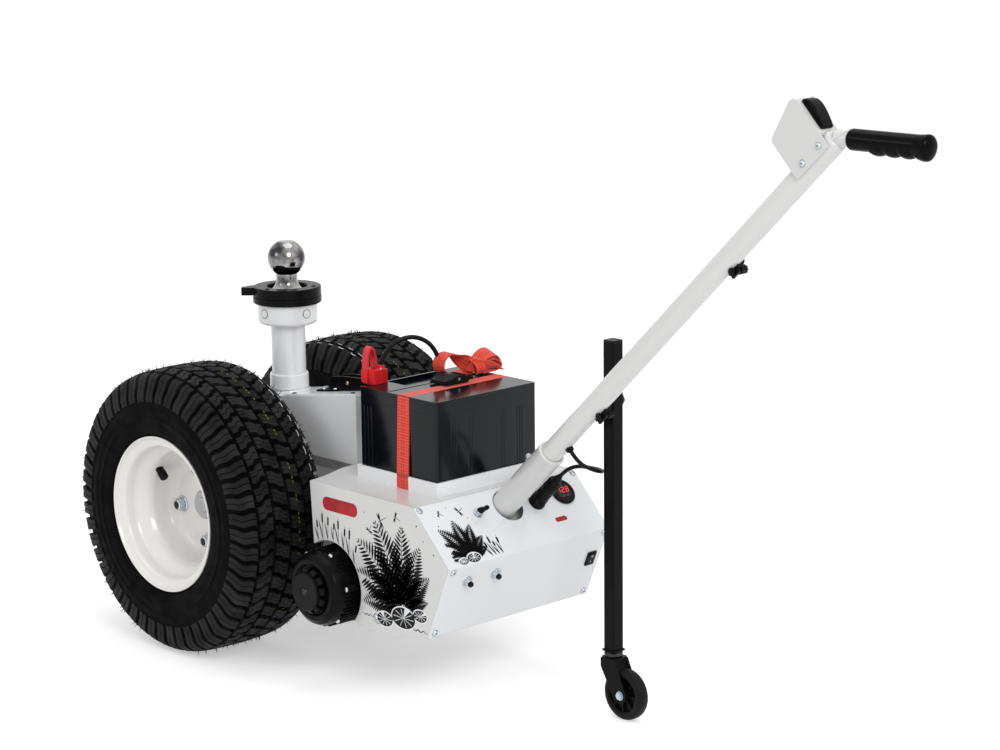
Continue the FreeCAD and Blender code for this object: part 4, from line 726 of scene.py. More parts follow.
def hairs(piece, place):
    """Thin rubber hairs left by the mould's vents."""
    for number in range(PITCHES * HAIRS):
        round_by = number * PITCH / HAIRS + random.uniform(-2, 2)
        along = random.choice((-1, 1)) * random.choice((6, 14, 24, 36, 44, 54, 64, 76, 92))
        along += random.uniform(-2, 2)
        length = random.uniform(4.0, 8.0)
        lean = random.uniform(-2.5, 2.5)
        root = [tread_point(round_by + dc, along + dt, -0.6)
                for dc, dt in ((0.8, 0), (-0.5, 0.7), (-0.5, -0.7))]
        tip = tread_point(round_by + lean, along + lean * 0.6, length)
        if (place @ (Vector(tip) * MM)).z > 0:      # the floor has worn the others off
            piece.add(root + [tip], [(0, 1, 2), (0, 1, 3), (1, 2, 3), (2, 0, 3)], place)


# ---------------------------------------------------------------- rims and hubs
DISC = -9.6              # the wheel disc, from the tyre's middle plane outwards
BORE_R = 23.0
BOLT_CIRCLE = 57.15      # the radius of the four bolts' circle, 4 1/2 in across
BOLTS = 4
BOLT_START = 171.0       # the first bolt's angle, times its side
BARREL = 19.2            # from the flange's edge in to the barrel that the valve stands in
VALVE_ANGLES = {-1: 143.0, 1: 37.0}     # by side


def rim(side_name, side):
    """Rolled flanges, bead seats and well, with the flat wheel disc pressed into the well."""
    wheel = "wheel_" + side_name
    place = sideways(0, centre("tyre_" + side_name).y / MM, AXLE.z / MM, side)
    flange = size_mm("rim_" + side_name).x / 2
    half = size_mm("rim_" + side_name).y / 2
    well = flange - 36.7
    visible = smooth_through(near(
        flange, half, (0.3, -2.6), (0.4, -0.8), (-0.8, 0.5), (-2.4, -0.3), (-4, -3.6), (-7, -6.2),
        (-12.5, -8), (-16, -10.5), (-17.5, -16), (-18.5, -24), (-21, -29), (-26, -34), (-31, -39),
        (-34.5, -45), (-36.7, -52)) + [(well, 8)], 4)
    hidden = near(flange, half, (-0.5, -4.8), (-4.6, -7.4), (-9, -9.4), (-13, -12), (-14, -26),
                  (-22, -36), (-33.7, -52), (-33.7, -half))
    shell = Piece()
    shell.turned(hidden[::-1] + visible + flipped(visible) + flipped(hidden[::-1]), place, 160,
                 closed=True)
    face = near(BORE_R, DISC, (0, -1.5), (0, 1.2), (1.2, 1.8), (6, 1.5))
    face += near(0, DISC, (60, 1.6), (69, 3.2), (76, 7.6), (81, 14.5), (84, 24), (85.2, 33))
    behind = near(0, DISC, (well + 0.8, 33), (well + 0.8, 4), (78, -1.5))
    shell.turned(smooth_through(face, 4) + behind, place, 160, closed=True)
    shell.make("rim_shell_" + side_name, RIM_WHITE, wheel, sharp=60,
               replaces="rim_" + side_name)
    studs, ends = Piece(), Piece()
    for number in range(BOLTS):
        angle = BOLT_START * side + 360 / BOLTS * number
        spot = place @ shift(*polar(BOLT_CIRCLE, angle), DISC + 1.5)
        wheel_nut(studs, spot)
        ends.turned([(0, 12.0), (5.4, 12.0), (5.4, 13.8), (0, 14.0)], spot, 20)
    studs.make("wheel_nuts_" + side_name, ZINC, wheel, bevel=0.5)
    ends.make("wheel_stud_ends_" + side_name, DARK_METAL, wheel)
    hub = Piece()
    hub.turned([(13, -14), (22.6, -14), (22.6, -5.6), (21.4, -4.4), (13, -4.4)], place, 48,
               closed=True)
    hub.turned(rectangle(12.8, 19.5, -4.6, -2.2), place, 40, closed=True)
    hub.make("hub_face_" + side_name, STEEL, wheel, bevel=0.4)
    dress("hub_" + side_name, STEEL)
    valve(side_name, place, flange - BARREL, VALVE_ANGLES[side])


def wheel_nut(piece, place):
    """Flanged nut on its stud."""
    piece.turned([(0, -1), (13.0, -1), (13.0, 1.2), (11.4, 2.6), (0, 2.6)], place, 28)
    piece.prism(polygon(6, 10.4), 2.4, 10.5, place)
    piece.turned([(8.8, 10.3), (8.2, 12.4), (6.2, 13.2)], place, 24)


def valve(side_name, place, seat, degrees):
    """Rubber tubeless valve in the barrel, pointing at the hub, with its cap."""
    x, y = polar(1, degrees)
    turn = Vector((-x, -y, 0.1)).normalized().to_track_quat("Z", "Y").to_matrix().to_4x4()
    piece = Piece()
    piece.turned([(0, -4), (10.4, -4), (10.8, 1.0), (10.0, 4.2), (7.8, 8), (6.4, 13), (6.2, 24),
                  (7.0, 24.6), (7.0, 35), (6.0, 36.6), (0, 37)],
                 place @ shift(seat * x, seat * y, 25) @ turn, 28)
    piece.make("valve_" + side_name, BLACK_PLASTIC, "wheel_" + side_name, bevel=0.2, slot="tyre")


for wheel_name, wheel_side in (("left", 1), ("right", -1)):
    tyre(wheel_name, wheel_side)
    rim(wheel_name, wheel_side)
dress("axle_shaft", STEEL, 0.8)


# ---------------------------------------------------------------- ball post
LEVER_ANGLE = 226.0      # the lock ring's lever, about the post from +X
RING_TRIM = 5.0          # the photo's lock ring ends this much above the solid's
CUP_TRIM = 6.0           # and its cup this much
RING_BORE = 31.5
BALL_RISE = 26.4         # the ball's flat top above its middle
NECK_R = 16.7
FLARE_R = 28.4           # the foot of the ball's shank, inside the ring
POST_X = local_mm(centre("ball_post")).x
RING_LOW = corners("lock_ring_lower")[0].z + RING_TRIM
RING_SEAM, RING_TOP = [corner.z for corner in corners("lock_ring_upper")]
RING_R = size_mm("lock_ring_lower").y / 2
CUP_LOW = corners("ball_cup")[0].z + CUP_TRIM
CUP_R = size_mm("ball_cup").x / 2
POST_LOW = corners("ball_post")[0].z
POST_R = size_mm("ball_post").x / 2
COLLAR_LOW, COLLAR_TOP = [corner.z for corner in corners("post_collar")]
COLLAR_R = size_mm("post_collar").x / 2
BALL_TOP = corners("hitch_ball")[1].z
BALL_R = size_mm("hitch_ball").x / 2
FRAME_HIGH = corners("frame_box")[1]
FRAME_TAN = math.tan(math.radians(FRAME_SLOPE))
FRAME_TOP_Z = FRAME_HIGH.z - (FRAME_HIGH.x - POST_X) * FRAME_TAN    # at the post
POST_AXIS = upright(POST_X, 0, 0)


def hitch_ball():
    """Chromed ball with a flat top, and its flared neck down into the lock ring."""
    flat = math.degrees(math.asin(BALL_RISE / BALL_R))
    neck = -math.degrees(math.acos(NECK_R / BALL_R))
    sphere = arc(0, BALL_TOP - BALL_RISE, BALL_R, flat, neck, 40)
    flare = smooth_through([(16.6, sphere[-1][1] - 1.5)] + near(
        0, RING_TOP, (16.6, 9), (18.2, 3), (22, -2.5), (27, -5.8), (FLARE_R, -7)), 5)
    ball = Piece()
    ball.turned([(0, BALL_TOP), (sphere[0][0] - 0.8, BALL_TOP)] + sphere + flare
                + near(0, RING_SEAM, (FLARE_R, -6), (0, -6)), POST_AXIS, 96)
    ball.make("ball_chromed", CHROME, sharp=40, replaces="hitch_ball")


def lock_ring():
    """Two-part black lock ring with its lever and three screws."""
    base = Piece()
    base.turned([(RING_BORE, RING_LOW)] + near(RING_R, RING_LOW, (-1.4, 0), (0, 1.4))
                + near(RING_R, RING_SEAM, (0, -0.9), (-0.8, -0.1))
                + [(RING_BORE, RING_SEAM - 0.1)], POST_AXIS, 96, closed=True)
    base.make("lock_ring_base", BLACK_PAINT, replaces="lock_ring_lower")
    plate = Piece()
    plate.turned([(RING_BORE, RING_SEAM)] + near(RING_R, RING_SEAM, (-1.0, 0), (-0.4, 0.8))
                 + near(RING_R, RING_TOP, (-0.4, -1.4), (-1.6, 0))
                 + near(RING_BORE, RING_TOP, (1.5, 0), (0, -1.5)), POST_AXIS, 96, closed=True)
    lever = [(38, -19), (48, -15.5), (60, -6), (70.4, 3.2), (71, 4.6), (71, 13), (70, 14),
             (50, 14.6), (38, 16)]
    plate.prism(lever, RING_SEAM + 2.2, RING_TOP - 0.9, POST_AXIS @ spin(LEVER_ANGLE))
    plate.make("lock_ring_plate", BLACK_PAINT, bevel=0.9, replaces="lock_ring_upper")
    screws = Piece()
    for angle in (35, 155, 275):
        cap_screw(screws, POST_AXIS @ spin(angle) @ shift(43, 0, RING_TOP - 0.6), 3.6)
    screws.make("lock_ring_screws", DARK_METAL)


def cup():
    """White cup under the ring, with four plugs in a row round it, each ringed by a dark band of
    painted shade.
    """
    bowl = Piece()
    bowl.turned([(0, CUP_LOW)] + near(CUP_R, CUP_LOW, (-5.5, 0), (-3.6, 0.5), (-1.4, 1.8),
                                      (-0.3, 3.8), (0, 6))
                + near(CUP_R, RING_LOW, (0, -1), (-1, 0), (-CUP_R, 0)), POST_AXIS, 96)
    bowl.make("cup_turned", POST_WHITE_PAINTED_LIGHT, sharp=30, replaces="ball_cup")
    plugs, gaps = Piece(), Piece()
    for angle in (0, 90, 180, 270):
        spot = upright(POST_X, 0, RING_LOW - 13.5) @ spin(angle) @ spin(90, "Y")
        plugs.turned(near(0, CUP_R, (0, -1.5), (6.4, -1.5), (6.4, 0.5), (5.8, 0.9), (0, 0.9)),
                     spot, 32)
        # A dark ring of painted shade round each plug.
        gaps.turned(rectangle(6.3, 7.4, CUP_R - 1.6, CUP_R + 0.35), spot, 32, closed=True)
    plugs.make("cup_plugs", PANEL_WHITE_PAINTED_LIGHT, sharp=30, slot="white_paint")
    gaps.make("cup_plug_painted_shade", SHADOW_GREY, sharp=30)


def post():
    """White post and collar, and the weld bead where the collar meets the sloping frame."""
    tube = Piece()
    tube.turned(near(POST_R, POST_LOW, (-4, 0), (0, 0))
                + near(POST_R, CUP_LOW, (0, -3), (1.2, -1.4), (2.4, 0), (-4, 0)),
                POST_AXIS, 80, closed=True)
    tube.make("post_tube", POST_WHITE_PAINTED_LIGHT, sharp=30, replaces="ball_post")
    collar = Piece()
    collar.turned([(POST_R + 0.5, POST_LOW), (COLLAR_R, POST_LOW - 2)]
                  + near(COLLAR_R, COLLAR_TOP, (0, -1.6), (-1.4, 0))
                  + near(POST_R, COLLAR_TOP, (1.1, 0), (0.5, -1)), POST_AXIS, 80, closed=True)
    collar.turned(near(COLLAR_R, COLLAR_LOW, (-4, 0), (0, 2))
                  + near(COLLAR_R, POST_LOW, (0, 2), (-4, 2)), POST_AXIS, 80, closed=True)
    collar.make("post_collar_ring", POST_WHITE_PAINTED_LIGHT, sharp=30, replaces="post_collar")
    path = []
    for step, (x, y) in enumerate(arc(0, 0, COLLAR_R + 1.2, 0, 360, 64)):
        height = FRAME_TOP_Z + x * FRAME_TAN + 0.8 + 0.25 * math.sin(step * 2.1)
        path.append(at(POST_X + x, y, height))
    weld = Piece()
    weld.swept(path, polygon(8, 2.6), up=Vector((0, 0, 1)))
    weld.make("post_weld", POST_WHITE_PAINTED_LIGHT)


def cap_screw(piece, place, radius):
    """Socket cap screw head."""
    piece.turned([(0, 0.3), (radius * 0.52, 0.3), (radius * 0.56, radius * 0.5),
                  (radius * 0.92, radius * 0.5), (radius, radius * 0.35), (radius, -1)], place, 24)


def pan_screw(piece, place, radius):
    """Pan-head screw with a washer face and a hexagon hole."""
    profile = [(0, 0.12), (0.36, 0.12), (0.42, 0.56), (0.72, 0.5), (0.95, 0.2), (1, 0), (1.25, 0)]
    piece.turned([(x * radius, y * radius) for x, y in profile] + [(1.28 * radius, -0.6)],
                 place, 28)


hitch_ball()
lock_ring()
cup()
post()


# ---------------------------------------------------------------- body, frame and latch
LATCH_X = 111.0          # the latch's front
LATCH_HALF = size_mm("latch_bracket").y / 2


def body_screws():
    """Zinc pan-head screws at the corners of the rear panels and low on each side."""
    piece = Piece()
    for side in (-1, 1):
        for place in (on_upper_panel(6.5, side * 154.5), on_lower_panel(6.5, side * 152.5),
                      on_lower_panel(113.5, side * 151)):
            pan_screw(piece, place, 4.6)
        pan_screw(piece, sideways(408, side * HALF_W, 128, side), 4.4)
    piece.make("panel_screws", ZINC, bevel=0.25)


def on_frame(x, y):
    """Local X runs up the frame's slope towards the body, and local Z stands off it."""
    return upright(x, y, FRAME_TOP_Z + (x - POST_X) * FRAME_TAN) @ spin(-FRAME_SLOPE, "Y")


def frame_lid():
    """Thin cover on the sloping frame box, held by four screws."""
    half = size_mm("frame_box").y / 2 - 1.2
    start = POST_X + COLLAR_R + 9
    run = (FRAME_HIGH.x - 1.5 - start) / math.cos(math.radians(FRAME_SLOPE))
    place = on_frame(start, 0)
    piece, screws = Piece(), Piece()
    piece.prism(rectangle(0, run, -half, half), 0.1, 1.8, place)
    piece.make("frame_lid", POST_WHITE_PAINTED_LIGHT, bevel=0.7)
    for across in (-36, 36):
        for along in (16, run - 14):
            cap_screw(screws, place @ shift(along, across, 1.8), 3.4)
    screws.make("frame_lid_screws", DARK_METAL)


def latch():
    """Black latch bracket: a foot, two cheeks with raised ears, and a tongue between them."""
    place = on_frame(LATCH_X, 0)
    piece, silver, brass = Piece(), Piece(), Piece()
    piece.prism(rectangle(0, 50, -LATCH_HALF, LATCH_HALF), 1.9, 5.0, place)
    cheek = [(27, 2), (119, 2), (119, 14), (110, 21), (62, 24.8), (36, 24.8), (30, 21), (27, 14)]
    for side in (-1, 1):
        piece.prism(cheek, -1.6, 1.6, place @ shift(0, side * 11.3, 0) @ spin(90, "X"))
        pan_screw(brass, place @ shift(72, side * 12.9, 14) @ spin(-90 * side, "X"), 3.0)
    tongue = [(34, 13), (60, 16), (112, 12.5), (117, 8), (117, 3), (34, 5)]
    piece.prism(tongue, -9.4, 9.4, place @ spin(90, "X"))
    piece.make("latch_steel", BLACK_PAINT, bevel=0.6, replaces="latch_bracket")
    for along, across in ((11, -10), (43, -13.4), (11, 10), (43, 13.4)):
        cap_screw(silver, place @ shift(along, across, 5.0), 3.6)
    silver.make("latch_screws", ZINC)
    brass.make("latch_pivot", BRASS)


# ---------------------------------------------------------------- controls
TOGGLE_AT = (32.3, -57.8)       # places down the panel and across it
METER_AT = (32.9, 114.5)
PLUG_AT = (38, 57)
ROCKER_AT = (50.7, 141)
BREAKERS_AT = ((29.5, -118), (29.5, -62.5))


def toggle():
    """Direction switch: flat washer, hexagon nut, threaded neck and a ribbed rubber boot."""
    place = on_upper_panel(*TOGGLE_AT)
    nut, boot = Piece(), Piece()
    nut.turned(rectangle(0, 8.0, 0, 1.0), place, 32)
    nut.prism(polygon(6, 7.6, 0.3), 1.0, 4.2, place)
    nut.turned([(5.0, 4.0), (5.0, 6.6), (4.4, 7.2), (0, 7.2)], place, 28)
    nut.make("toggle_nut", ZINC, bevel=0.25, replaces="toggle_switch")
    profile = [(4.8, -0.6)]
    for step in range(5):
        profile += near(-step * 0.12, step * 1.7, (4.9, 0.8), (4.2, 1.6))
    profile += [(3.8, 9.4), (3.3, 12), (3.6, 17), (3.2, 19.2), (0, 19.8)]
    boot.turned(profile, place @ shift(0, 0, 6) @ spin(16, "Y"), 32)
    boot.make("toggle_boot", BLACK_PLASTIC)


# The lit bars of each digit, as (left, right, low, high) in a field 6 wide and 10 high.
BARS = {"a": (1, 5, 9, 10), "b": (5, 6, 5.3, 9.2), "c": (5, 6, 0.8, 4.7), "d": (1, 5, 0, 1),
        "e": (0, 1, 0.8, 4.7), "f": (0, 1, 5.3, 9.2), "g": (1, 5, 4.5, 5.5)}
DIGITS = (("bc", -11.5), ("abged", -3.2), ("abcdefg", 5.4))     # 1, 2 and 8, and their places


def voltmeter():
    """Round panel meter: black bezel, dark window and the red digits of a charged battery."""
    place = on_upper_panel(*METER_AT)
    face = place @ spin(90)
    bezel, window, lit, pair = Piece(), Piece(), Piece(), Piece()
    bezel.turned([(0, 0), (21, 0), (21, 2.6), (20.2, 3.6), (17.4, 4.0), (16.2, 3.2), (0, 3.2)],
                 place, 72)
    bezel.make("voltmeter_bezel", BLACK_PLASTIC, bevel=0.3, replaces="voltmeter")
    window.prism(rounded_rectangle(20, 25, 4), 3.2, 3.5, place)
    window.make("voltmeter_window", WINDOW)
    for bars, start in DIGITS:
        for bar in bars:
            lit.prism([(start + x * 0.92 + y * 0.1, y * 0.95 - 2.6)
                       for x, y in rectangle(*BARS[bar])], 3.55, 3.75, face)
    lit.prism(rounded_rectangle(1.2, 1.2, 0.4), 3.55, 3.75, face @ shift(3.9, -2.1, 0))
    lit.make("voltmeter_digits", LIT_RED)
    for across in (-4, 4):
        pair.prism(rounded_rectangle(2.2, 1.6, 0.5), 3.55, 3.7, face @ shift(across, -8.5, 0))
    pair.make("voltmeter_lamps", RED)


def panel_plug():
    """Round multi-pole plug with its ringed nut, body, gland and strain relief."""
    place = on_upper_panel(*PLUG_AT)
    piece = Piece()
    profile = [(0, 0), (13.5, 0), (13.5, 3.6), (12.6, 4.6), (12.4, 8)]
    for step in range(6):
        profile += near(0, step * 1.3, (11.9, 9), (11.2, 9.6))
    profile += [(11, 18), (11, 30), (10.2, 31), (10.2, 33), (11, 34), (11, 42), (10.4, 43),
                (10.0, 44.5), (10.0, 55), (9.2, 57), (7.2, 58.2), (6.4, 59), (6.2, 63),
                (5.4, 63.4), (5.3, 65), (4.9, 65.4), (4.7, 67.5), (4.1, 68), (3.8, 70),
                (3.05, 70)]
    piece.turned(profile, place, 56)
    for step in range(20):
        piece.prism([(9.6, -0.7), (10.6, -0.4), (10.6, 0.4), (9.6, 0.7)], 45.5, 54,
                    place @ spin(step * 18))
    return piece.make("handle_plug_body", BLACK_PLASTIC, sharp=40, replaces="handle_plug")


def breakers():
    """Two push-button breakers: washer, knurled ring nut and black button."""
    rings, caps = Piece(), Piece()
    for spot in BREAKERS_AT:
        place = on_lower_panel(*spot)
        rings.turned([(0, 0), (9.0, 0), (9.0, 0.9), (8.2, 1.3), (0, 1.3)], place, 40)
        rings.prism(polygon(6, 8.0, 0.2), 1.3, 4.3, place)
        rings.turned([(6.6, 4.0), (6.2, 6.4), (5.2, 6.9), (4.4, 6.9), (4.2, 5.4)], place, 36)
        caps.turned([(0, 5), (4.1, 5), (4.1, 10.2), (3.5, 11), (0, 11)], place, 32)
    rings.make("breaker_nuts", ZINC, bevel=0.25, replaces="breaker_buttons")
    caps.make("breaker_caps", BLACK_PLASTIC)


def rocker():
    """Power rocker in a flush bezel with two white marks."""
    place = on_lower_panel(*ROCKER_AT)
    piece, marks = Piece(), Piece()
    piece.prism(rounded_rectangle(24, 18, 1.6), 0.05, 2.2, place)
    tilt = [(-9.6, 2.0), (9.6, 2.0), (9.6, 3.0), (0.5, 2.6), (-9.6, 3.9)]
    piece.prism(tilt, -6.4, 6.4, place @ spin(90, "X"))
    piece.make("power_rocker_switch", BLACK_PLASTIC, bevel=0.35, replaces="power_rocker")
    marks.box(3.4, 0.8, 0.25, place @ shift(5.0, 0, 2.72))
    marks.turned(rectangle(1.1, 1.7, 0, 0.3), place @ shift(-5.2, 0, 3.28) @ spin(5, "Y"), 20,
                 closed=True)
    marks.make("power_rocker_marks", PANEL_WHITE_PAINTED_LIGHT)


# ---------------------------------------------------------------- printed artwork
# A pond scene in black on white: fern fronds, bulrushes, lily pads, ripples and dragonflies.
# Shapes are outlines of (right, up) in millimetres.
FROND_STEPS = 20
RIPPLE_STEPS = 15
PAD_FLAT = 0.62                 # a lily pad's height to its width
NOTCH = Vector((308, 153))      # the side plate's round notch for the drum
NOTCH_R = 68
PLATE_FRONT = 268               # where the plate comes out from behind the tyre
PLATE_KNEE = (571.6, 232.5)     # its rear corners, the upper one between the two rear panels
PLATE_HEEL = (523.9, 121.2)
PLATE_FLOOR = (436.9, 106.5)    # where its lower edge starts to rise
KNEE_SLOPE = 0.4286
HEEL_SLOPE = 0.169


def lens(x, y, degrees, length, width, steps=5):
    """A pointed oval from one tip at (x, y)."""
    foot, along = Vector((x, y)), Vector(polar(1, degrees))
    across = Vector((-along.y, along.x))
    edge = [(k / steps, math.sin(math.pi * (k / steps) ** 0.85) * width / 2)
            for k in range(steps + 1)]
    edge += [(share, -swell) for share, swell in edge[-2:0:-1]]
    return [tuple(foot + along * length * share + across * swell) for share, swell in edge]


def stroke(points, widths):
    """A line of changing width through points."""
    left, right = [], []
    for index, point in enumerate(points):
        before = Vector(points[max(index - 1, 0)])
        after = Vector(points[min(index + 1, len(points) - 1)])
        forward = (after - before).normalized()
        across = Vector((-forward.y, forward.x)) * widths[index] / 2
        left.append(tuple(Vector(point) + across))
        right.append(tuple(Vector(point) - across))
    return left + right[::-1]


def frond(x, y, degrees, length, curl):
    """A fern frond: a curving stem with pairs of leaflets that shorten to its tip."""
    stem = [Vector((x, y))]
    for step in range(FROND_STEPS):
        heading = degrees + curl * (step / FROND_STEPS) ** 1.4
        stem.append(stem[-1] + Vector(polar(1, heading)) * length / FROND_STEPS)
    shapes = [stroke(stem, [1.7 - 1.4 * k / FROND_STEPS for k in range(FROND_STEPS + 1)])]
    for step in range(2, FROND_STEPS):
        share = step / FROND_STEPS
        heading = math.degrees(math.atan2(*reversed(stem[step + 1] - stem[step - 1])))
        reach = length * 0.27 * math.sin(math.pi * share ** 0.62) ** 0.8
        shapes += [lens(*stem[step], heading + side * (66 - 18 * share), reach,
                        1.2 + reach * 0.15, 4) for side in (1, -1)]
    return shapes


def bulrush(x, y, degrees, length):
    """A tall stem with its brown head near the top and one blade of leaf."""
    foot, along = Vector((x, y)), Vector(polar(1, degrees))
    turn = Matrix.Rotation(math.radians(degrees), 2)
    head = [tuple(foot + along * length * 0.74 + turn @ Vector(point))
            for point in rounded_rectangle(length * 0.34, 3.4, 1.6, 2)]
    return [stroke([foot, foot + along * length], [1.0, 0.5]), head,
            lens(x, y, degrees + 16, length * 0.72, 2.4)]


def lily_pad(x, y, radius, degrees):
    """A round leaf with its notch, and the white veins that fan out from it."""
    leaf = [(px, y + py * PAD_FLAT) for px, py in
            arc(x, 0, radius, degrees + 14, degrees + 346, 30)] + [(x, y)]
    veins = []
    for px, py in arc(0, 0, radius * 0.86, degrees + 34, degrees + 326, 8):
        veins.append(stroke([(x, y), (x + px, y + py * PAD_FLAT)], [0.5, 1.1]))
    halo = [(x + (radius + 2) * px, y + (radius * PAD_FLAT + 2) * py)
            for px, py in polygon(30, 1)]
    return halo, leaf, veins


def ripple(x, y, length, width):
    """A tapering wave of water."""
    points, widths = [], []
    for step in range(RIPPLE_STEPS + 1):
        share = step / RIPPLE_STEPS
        points.append((x + length * share, y + 1.5 * math.sin(step * 1.25)))
        widths.append(0.3 + width * math.sin(math.pi * share))
    return [stroke(points, widths)]


def dragonfly(x, y, degrees, size):
    """A body with two pairs of wings."""
    right, up = polar(size, degrees)
    body = stroke([(x, y), (x + right, y + up)], [1.3, 0.5])
    return [body] + [lens(x + 0.2 * right, y + 0.2 * up, degrees + swing, size * reach,
                          size * 0.15, 4)
                     for swing, reach in ((82, 0.62), (104, 0.6), (-82, 0.62), (-104, 0.6))]


def pond(ferns, rushes, ripples, flies, dots):
    """All the ink of one pond, apart from its lily pads."""
    ink = []
    for kind, rows in ((frond, ferns), (bulrush, rushes), (ripple, ripples), (dragonfly, flies)):
        for row in rows:
            ink += kind(*row)
    return ink + [near(x, y, *polygon(10, radius)) for x, y, radius in dots]


def print_on(name, face, placed, inside, ink, pads, pill):
    """Printed shapes a hair proud of a painted face, kept where the face is, and a red pill."""
    dark, light, plate = Piece(), Piece(), Piece()
    layers = [(dark, shape, 0.02, 0.10) for shape in ink
              if all(inside(*point) for point in shape)]
    for halo, leaf, veins in pads:
        layers += [(light, halo, 0.03, 0.14), (dark, leaf, 0.03, 0.18)]
        layers += [(light, vein, 0.10, 0.22) for vein in veins]
    for piece, shape, low, high in layers:
        piece.prism([placed(*point) for point in shape], low, high, face)
    dark.make(name + "_ink", INK, sharp=80)
    light.make(name + "_gaps", PANEL_WHITE_PAINTED_LIGHT, sharp=80)
    x, y, outline, height = pill
    plate.prism(outline, 0.02, height, face @ shift(*placed(x, y), 0))
    plate.make(name + "_pill", PILL, sharp=80)


def on_side_plate(x, z):
    """Whether a place lies on the flat of the side plate, a little in from its edges."""
    below_knee = x < PLATE_HEEL[0] + (z - PLATE_HEEL[1]) * KNEE_SLOPE - 3.5
    above_knee = x < PLATE_KNEE[0] - (z - PLATE_KNEE[1]) - 4
    above_floor = z > PLATE_FLOOR[1] + max(0, x - PLATE_FLOOR[0]) * HEEL_SLOPE + 3
    return (x > PLATE_FRONT and z < BODY_TOP_Z - 4 and below_knee and above_knee and above_floor
            and (Vector((x, z)) - NOTCH).length > NOTCH_R + 2.5)


def side_artwork(side):
    """The pond in the low rear corner, bulrushes over the drum, and a plain red pill."""
    ferns = [(474, 146, *row) for row in (
        (166, 96, 34), (149, 122, 26), (131, 142, 20), (113, 146, 12), (96, 132, -8),
        (79, 112, -16), (60, 84, -24), (40, 56, -30))]
    rushes = [(x, NOTCH.y + 4 + (NOTCH_R ** 2 - (x - NOTCH.x) ** 2) ** 0.5, degrees, length)
              for x, degrees, length in (
                  (282, 97, 34), (292, 92, 44), (303, 88, 38), (315, 84, 31), (327, 90, 40),
                  (338, 82, 34), (350, 86, 42), (362, 80, 33))]
    ripples = ((392, 113, 62, 1.6), (462, 117.5, 54, 1.8), (404, 120, 36, 1.2),
               (486, 127, 34, 1.5), (378, 128, 24, 1.0))
    flies = ((418, 274, 28, 21), (452, 288, -18, 15), (396, 254, 64, 13))
    dots = ((436, 262, 1.2), (470, 270, 1.5), (484, 258, 1.0), (386, 282, 1.0),
            (500, 282, 1.4), (514, 262, 1.1), (536, 246, 1.3), (400, 238, 1.1))
    pads = [lily_pad(469, 139, 25, 70), lily_pad(428, 129, 17, 110), lily_pad(505, 149, 14, 40)]
    print_on("art_near" if side < 0 else "art_far", sideways(0, side * HALF_W, 0, side),
             lambda x, z: (x, -side * z), on_side_plate,
             pond(ferns, rushes, ripples, flies, dots), pads,
             (332.2, 280.2, rounded_rectangle(78, 20.4, 9.4, 8), 0.16))


def panel_artwork():
    """A smaller pond at the upper panel's near corner, and a plain red pill."""
    ferns = [(-106, 9, *row) for row in (
        (162, 46, 30), (140, 60, 22), (118, 68, 14), (96, 66, -6), (74, 58, -16),
        (52, 46, -24), (30, 34, -22))]
    rushes = [(x, 5, degrees, length) for x, degrees, length in (
        (-74, 96, 26), (-67, 88, 34), (-60, 92, 24), (-53, 84, 30))]
    flies = ((-92, 84, 24, 15), (-128, 90, -30, 11))
    dots = ((-108, 96, 0.9), (-80, 72, 0.8), (-138, 70, 1.0), (-70, 60, 0.7))
    pads = [lily_pad(-108, 9.6, 12, 80), lily_pad(-129, 7.6, 8, 120)]
    print_on("art_panel", on_upper_panel(0, 0), lambda right, up: (UPPER_PANEL - up, right),
             lambda right, up: -146 < right < -24 and 3 < up < 102,
             pond(ferns, rushes, (), flies, dots), pads,
             (84, UPPER_PANEL - 74, rounded_rectangle(7.6, 23, 3.4, 6), 0.14))


body_screws()
frame_lid()
latch()
toggle()
voltmeter()
plug_body = panel_plug()
breakers()
rocker()
for plate_side in (-1, 1):
    side_artwork(plate_side)
panel_artwork()


# ---------------------------------------------------------------- battery, strap and power lead
BATTERY_LOW, BATTERY_HIGH = corners("battery")
BATTERY_SIZE = BATTERY_HIGH - BATTERY_LOW
BATTERY_MID = (BATTERY_LOW + BATTERY_HIGH) / 2
LID_LOW, LID_TOP = BATTERY_HIGH.z, corners("battery_lid")[1].z
TRAY_HIGH = corners("battery_tray")[1]
STRAP_X = local_mm(centre("battery_strap")).x
STRAP_W = size_mm("battery_strap").x
WEB = 1.8                # thickness of the webbing


def battery():
    """Ribbed case, and a lid with a raised rim and a bar beside its well."""
    length, width, height = BATTERY_SIZE
    back = BATTERY_LOW.x
    place = upright(BATTERY_MID.x, BATTERY_MID.y, 0)
    case, lid = Piece(), Piece()
    case.prism(rounded_rectangle(length - 0.1, width - 0.1, 3), BATTERY_LOW.z, LID_LOW, place)
    for across in (-72, -67, -62, -34, -29, 30, 35, 62, 67, 72):
        case.box(1.0, 2.4, height - 16,
                 upright(BATTERY_HIGH.x - 0.1, BATTERY_MID.y + across, BATTERY_LOW.z + 6))
    for side in (-1, 1):
        for rib in (9, 17, 25):
            case.box(2.4, 1.0, height - 12, upright(
                back + rib, BATTERY_MID.y + side * (width / 2 - 0.1), BATTERY_LOW.z + 4))
    case.make("battery_case", CASE, bevel=0.4, replaces="battery")
    outline = rounded_rectangle(length, width, 3)
    lid.prism(outline, LID_LOW - 0.1, LID_TOP - 6, place)
    well = rectangle(back + 4 - BATTERY_MID.x, back + 52 - BATTERY_MID.x, -50, 50)
    lid.framed_plate(outline, well, LID_TOP - 6, LID_TOP, place)
    lid.box(7, width - 16, 0.7, upright(back + 58, BATTERY_MID.y, LID_TOP - 0.1))
    lid.make("battery_lid_cover", CASE, bevel=0.7, replaces="battery_lid")
    dress("battery_tray", POST_WHITE_PAINTED_LIGHT, 0.7, welded=False)


